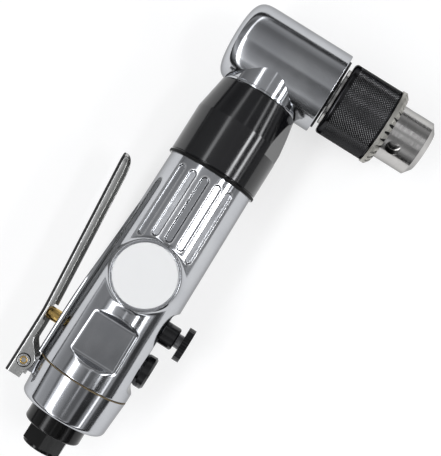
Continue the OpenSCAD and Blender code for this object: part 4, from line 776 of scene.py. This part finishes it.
def leverSection(y):
    # points round the sheet's section: along the outer face from wall to wall, then back along the inner face
    sheet, edge, outerRound, half = lever["sheet"], lever["edge"], lever["corner"], lever["half"]
    backX, cut, innerRound = leverBack(y), edge * lever["edgeCut"], outerRound - sheet
    wallFoot, free = backX + outerRound, backX + leverDepth(y)
    fromTip = y - lever["tip"] + lever["tipWidth"]
    if fromTip > 0:
        half -= lever["tipWidth"] - math.sqrt(max(0, lever["tipWidth"] ** 2 - fromTip ** 2))
    wall = [(free, half - sheet / 2), (free - cut, half - cut), (free - edge, half),
            (min(wallFoot + lever["brightStrip"], free - edge - 0.01), half)]
    lip = [(free - edge, half - sheet), (free - cut, half - sheet + cut)]
    turns = [math.pi / 2 * step / 8 for step in range(9)]
    outer = [(max(x, wallFoot), z) for x, z in wall]
    outer += [(wallFoot - outerRound * math.sin(a), half - outerRound * (1 - math.cos(a))) for a in turns]
    inner = [(backX + sheet + innerRound * (1 - math.sin(a)), half - sheet - innerRound * (1 - math.cos(a)))
             for a in turns[::-2]]
    inner += [(max(x, wallFoot), z) for x, z in lip]
    section = outer + [(x, -z) for x, z in reversed(outer)] + [(x, -z) for x, z in reversed(inner)] + inner
    return [(x, y, z) for x, z in section]


def leverStations():
    # a pair of rows at each end of the notch keeps its steps upright
    low, high = lever["bend"] - lever["notch"], lever["bend"] + lever["notch"]
    tipFrom, step = lever["tip"] - lever["tipRound"], 0.001
    roundTip = tipFrom + lever["tipRound"] * np.sin(np.linspace(0, math.pi / 2, 24))
    roundTip[-1] -= 0.01
    return np.concatenate((np.arange(lever["foot"], low, 0.4), (low - step, low + step),
                           np.arange(low + 0.5, high, 0.7), (high - step, high + step),
                           np.arange(high + 0.6, tipFrom, 1.2), roundTip))


def makeLever():
    sections = [leverSection(y) for y in leverStations()]
    count = len(sections[0])
    points = [point for section in sections for point in section]
    faces = gridFaces(len(sections), count)
    faces += [tuple(range(count))[::-1], tuple((len(sections) - 1) * count + k for k in range(count))]
    sheet = makeObject("leverSheet", points, faces, "lever_plate", None, lever["sharp"])
    turned = bmesh.new()
    turned.from_mesh(sheet.data)
    bmesh.ops.recalc_face_normals(turned, faces=turned.faces)
    turned.to_mesh(sheet.data)
    turned.free()
    # the rolled edges are darkest, with a painted dark reflection, and the side walls darker than the ears and the
    # back, with painted shade
    sheet.data.materials.append(materials["lever_back"])
    sheet.data.materials.append(materials["lever_side"])
    rolledFrom, rolledTo = lever["rolled"]
    for face in sheet.data.polygons:
        place = face.center / mm
        fromRoll = place.x - leverBack(place.y) - lever["corner"]
        if rolledFrom < face.normal.x < rolledTo:
            face.material_index = 1
        elif place.y > lever["earTop"] and fromRoll > lever["sideFrom"]:
            face.material_index = 2
    dress(sheet, "throttle_lever", "lever")


makeLever()

# Pin: a rolled tube, with a pale collar at each ear and a thin dark ring round it that is a painted shadow
pin = {"length": 7.25, "hole": 1.05, "radius": 1.7, "tubeEdges": (0.2, 0.25, 0.25, 0.2), "columns": 64,
       "collar": {"from": 0.02, "to": 0.45, "hole": 1.75, "radius": 2.75, "edges": (0, 0, 0.3, 0.2)},
       "gap": {"from": 0.005, "to": 0.05, "hole": 2.65, "radius": 3.15, "edges": (0, 0, 0, 0)}}


def makeEarRing(name, ring, side, material):
    near, far = side * (lever["half"] + ring["from"]), side * (lever["half"] + ring["to"])
    corners = ringCorners(near, far, ring["hole"], ring["radius"], ring["edges"])
    return lathe(name, corners, "Z", (*lever["pin"], 0), material, pin["columns"])


def makePin():
    corners = ringCorners(-pin["length"], pin["length"], pin["hole"], pin["radius"], pin["tubeEdges"])
    tube = lathe("leverPinTube", corners, "Z", (*lever["pin"], 0), "brass", pin["columns"])
    dress(tube, "lever_pin", "housing")
    for side in (-1, 1):
        collar = makeEarRing("pinCollar", pin["collar"], side, "bright_steel")
        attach(collar, "housing")
        # a thin black ring round the collar as a painted shadow
        gap = makeEarRing("earPaintedShadow", pin["gap"], side, "scallop_black")
        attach(gap, "lever")


makePin()
print("lever and pin made")

# The other CAD solids keep their own mesh and get small rounded edges
edgeRounding = {"end_cap": 0.35, "air_inlet": 0.3, "throttle_cap": 0.3, "reverse_bushing": 0.25,
                "reverse_knob": 0.2, "throttle_bushing": 0.2, "throttle_stem": 0.15, "head_front_ring": 0.25,
                "chuck_body": 0.2, "cap_gasket": 0.05, "chuck_jaw_1": 0.08, "chuck_jaw_2": 0.08,
                "chuck_jaw_3": 0.08, "jaw_nut": 0.15}
edgeSettings = {"segments": 3, "sharperThan": 32}
for nodeName, width in edgeRounding.items():
    obj = nodes[nodeName]
    obj.data.shade_smooth()
    rounding = obj.modifiers.new("edges", "BEVEL")
    rounding.width = width * mm
    rounding.segments = edgeSettings["segments"]
    rounding.limit_method = "ANGLE"
    rounding.angle_limit = math.radians(edgeSettings["sharperThan"])
    rounding.harden_normals = True
print("edges rounded:", len(edgeRounding))


def makeSpringYield():
    coil = nodes["throttle_spring"]
    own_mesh(coil)


makeSpringYield()


# The studio: a white table, a room with soft light strips, and the photograph's camera
cameraPlace = {"at": (20.99, 102.2, 389.7), "right": (0.84767911, 0.53045541, 0.0075625),
               "up": (-0.53041096, 0.84716134, 0.03133496), "lens": 69.49, "sensor": 36, "shift": (0.0199, 0.0423),
               "clip": (0.01, 20)}


def makeCamera():
    data = bpy.data.cameras.new("photoCamera")
    data.lens = cameraPlace["lens"]
    data.sensor_width = cameraPlace["sensor"]
    data.shift_x, data.shift_y = cameraPlace["shift"]
    data.clip_start, data.clip_end = cameraPlace["clip"]
    camera = bpy.data.objects.new("photoCamera", data)
    scene.collection.objects.link(camera)
    right, up = Vector(cameraPlace["right"]), Vector(cameraPlace["up"])
    turn = Matrix((right, up, right.cross(up))).transposed()
    camera.matrix_world = Matrix.Translation(Vector(cameraPlace["at"]) * mm) @ turn.to_4x4()
    scene.camera = camera


tableTop = {"centre": (30, 100, -21.8), "size": 3000, "colour": (0.36, 0.36, 0.36), "seen": 0.69}


def addCameraGlow(tree, surface, strength):
    # brightness that the camera, mirrors and glass see, and that lights nothing else
    path = tree.nodes.new("ShaderNodeLightPath")
    isSeen = calculate(tree, "MAXIMUM", path.outputs["Is Camera Ray"], path.outputs["Is Glossy Ray"])
    isSeen = calculate(tree, "MAXIMUM", isSeen, path.outputs["Is Transmission Ray"])
    glow = tree.nodes.new("ShaderNodeEmission")
    tree.links.new(calculate(tree, "MULTIPLY", isSeen, strength), glow.inputs["Strength"])
    both = tree.nodes.new("ShaderNodeAddShader")
    tree.links.new(surface, both.inputs[0])
    tree.links.new(glow.outputs[0], both.inputs[1])
    return both.outputs[0]


def makeTable():
    bpy.ops.mesh.primitive_plane_add(size=tableTop["size"] * mm, location=Vector(tableTop["centre"]) * mm)
    table = bpy.context.object
    table.name = "tableTop"
    material, tree, surface = newMaterial("tableTop")
    matt = tree.nodes.new("ShaderNodeBsdfDiffuse")
    matt.inputs["Color"].default_value = (*tableTop["colour"], 1)
    # seen from underneath, the table lets the tool's other side show
    clear = tree.nodes.new("ShaderNodeBsdfTransparent")
    facing = tree.nodes.new("ShaderNodeNewGeometry")
    eitherSide = tree.nodes.new("ShaderNodeMixShader")
    tree.links.new(facing.outputs["Backfacing"], eitherSide.inputs[0])
    tree.links.new(addCameraGlow(tree, matt.outputs[0], tableTop["seen"]), eitherSide.inputs[1])
    tree.links.new(clear.outputs[0], eitherSide.inputs[2])
    tree.links.new(eitherSide.outputs[0], surface)
    table.data.materials.append(material)


# Brightness of the room against the angle in degrees from straight up. "low" and "high" run across the handle, as
# its inlet end and its head end see them, with a change between the "turn" angles, and "along" runs along it.
# "lamp" is one more strip above the chuck's side, and "side" is what the narrow "sideWindow" shows.
room = {
    "low": [(-180, 0.6), (-92, 0.6), (-84, 0.26), (-52, 0.26), (-48, 0.1), (-45, 0.1), (-43, 0.65), (-36, 0.9),
            (-35, 4.5), (-25, 4.5), (-23, 0.8), (-18, 0.4), (-8, 0.26), (0, 0.14), (20, 0.12), (25, 0.25),
            (28, 0.25), (30, 0.03), (47, 0.02), (50, 0.2), (56, 0.25), (57.5, 1.6), (60, 1.6), (62, 0.1),
            (65, 0.3), (69, 0.28), (71, 0.04), (82, 0.03), (87, 0.1), (91, 0.6), (180, 0.6)],
    "high": [(-180, 0.6), (-92, 0.6), (-84, 0.4), (-60, 0.34), (-40, 0.36), (-36, 0.6), (-34, 3.6), (-28.5, 3.6),
             (-26.5, 0.5), (-5, 0.42), (24, 0.38), (37, 0.25), (51, 0.2), (52, 14), (56, 14), (57, 0.15),
             (64, 0.15), (64.5, 2.4), (66.5, 2.4), (67, 0.15), (72, 0.2), (76, 0.5), (86, 0.5), (92, 0.6),
             (180, 0.6)],
    "turn": (-9, 1),
    "along": [(-180, 0.8), (-95, 0.6), (-90, 0.06), (-80, 0.12), (-75, 0.5), (-70, 1.1), (-65, 1.3), (-60, 2.0),
              (-55, 3.1), (-50, 2.6), (-45, 2.3), (-38, 2.05), (-30, 1.85), (-24, 1.6), (-17, 1.35), (-6, 1.3),
              (0, 1.15), (6, 1.05), (20, 0.87), (30, 0.7), (40, 0.55), (50, 0.5), (60, 0.8), (70, 1.05),
              (73, 0.8), (76, 0.25), (84, 0.06), (90, 0.3), (95, 0.7), (180, 0.8)],
    "lamp": [(-180, 0), (31, 0), (31.6, 16), (36.4, 16), (37, 0), (180, 0)],
    "lampAlong": [(-180, 0), (-12, 0), (-8, 0.1), (-3, 0.6), (2, 1), (13, 1), (22, 0.35), (32, 0.28), (45, 0.1),
                  (60, 0), (180, 0)],
    "side": [(-180, 0.7), (-92, 0.7), (-78, 0.3), (-70, 0.05), (-64, 0.08), (-60, 0.4), (-52, 1.05), (-44, 1.15),
             (-41, 0.5), (-36, 0.2), (-23, 0.2), (-19, 0.4), (-17, 1.3), (-3, 1.2), (0, 0.9), (4, 0.45),
             (11, 0.42), (14, 1.3), (17, 1.6), (32, 1.6), (34, 0.25), (45, 0.16), (60, 0.18), (66, 0.32),
             (72, 0.5), (82, 0.4), (86, 0.05), (95, 0.05), (98, 0.6), (180, 0.6)],
    "sideWindow": [(-180, 0), (4.4, 0), (5, 1), (8, 1), (8.6, 0), (180, 0)],
    "level": 0.9,
    "tint": (0.97, 0.98, 1.0),
}


def angleRamp(tree, angle, stops):
    # the curve's values are kept under 1, so they are scaled to their largest and back
    top = max(value for _, value in stops)
    curve = tree.nodes.new("ShaderNodeFloatCurve")
    points = curve.mapping.curves[0].points
    while len(points) > 2:
        points.remove(points[1])
    points[0].location = (0, stops[0][1] / top)
    points[-1].location = (1, stops[-1][1] / top)
    for degrees, value in stops[1:-1]:
        points.new((degrees + 180) / 360, value / top)
    for point in points:
        point.handle_type = "VECTOR"
    curve.mapping.update()
    tree.links.new(spread(tree, angle, 0, 1, -math.pi, math.pi), curve.inputs["Value"])
    return calculate(tree, "MULTIPLY", curve.outputs[0], top)


def makeRoom():
    world = bpy.data.worlds.new("room")
    scene.world = world
    world.use_nodes = True
    tree = world.node_tree
    tree.nodes.clear()
    out = tree.nodes.new("ShaderNodeOutputWorld")
    coords = tree.nodes.new("ShaderNodeTexCoord")
    split = tree.nodes.new("ShaderNodeSeparateXYZ")
    tree.links.new(coords.outputs["Generated"], split.inputs[0])
    across = calculate(tree, "ARCTAN2", split.outputs["X"], split.outputs["Z"])
    along = calculate(tree, "ARCTAN2", split.outputs["Y"], split.outputs["Z"])
    turn = spread(tree, along, 0, 1, *(math.radians(degrees) for degrees in room["turn"]), "SMOOTHSTEP")
    low, high, lamp = (angleRamp(tree, across, room[name]) for name in ("low", "high", "lamp"))
    ahead, lampAlong, side = (angleRamp(tree, along, room[name]) for name in ("along", "lampAlong", "side"))
    window = angleRamp(tree, across, room["sideWindow"])
    walls = calculate(tree, "MULTIPLY", mixValues(tree, turn, low, high), ahead)
    total = calculate(tree, "ADD", walls, calculate(tree, "MULTIPLY", lamp, lampAlong))
    light = tree.nodes.new("ShaderNodeBackground")
    light.inputs["Color"].default_value = (*room["tint"], 1)
    strength = calculate(tree, "MULTIPLY", mixValues(tree, window, total, side), room["level"])
    tree.links.new(strength, light.inputs["Strength"])
    # the camera sees plain white behind the table
    white = tree.nodes.new("ShaderNodeBackground")
    white.inputs["Color"].default_value = (1, 1, 1, 1)
    white.inputs["Strength"].default_value = 1.0
    path = tree.nodes.new("ShaderNodeLightPath")
    mix = tree.nodes.new("ShaderNodeMixShader")
    tree.links.new(path.outputs["Is Camera Ray"], mix.inputs[0])
    tree.links.new(light.outputs[0], mix.inputs[1])
    tree.links.new(white.outputs[0], mix.inputs[2])
    tree.links.new(mix.outputs[0], out.inputs["Surface"])


makeCamera()
makeTable()
makeRoom()
print("studio ready")
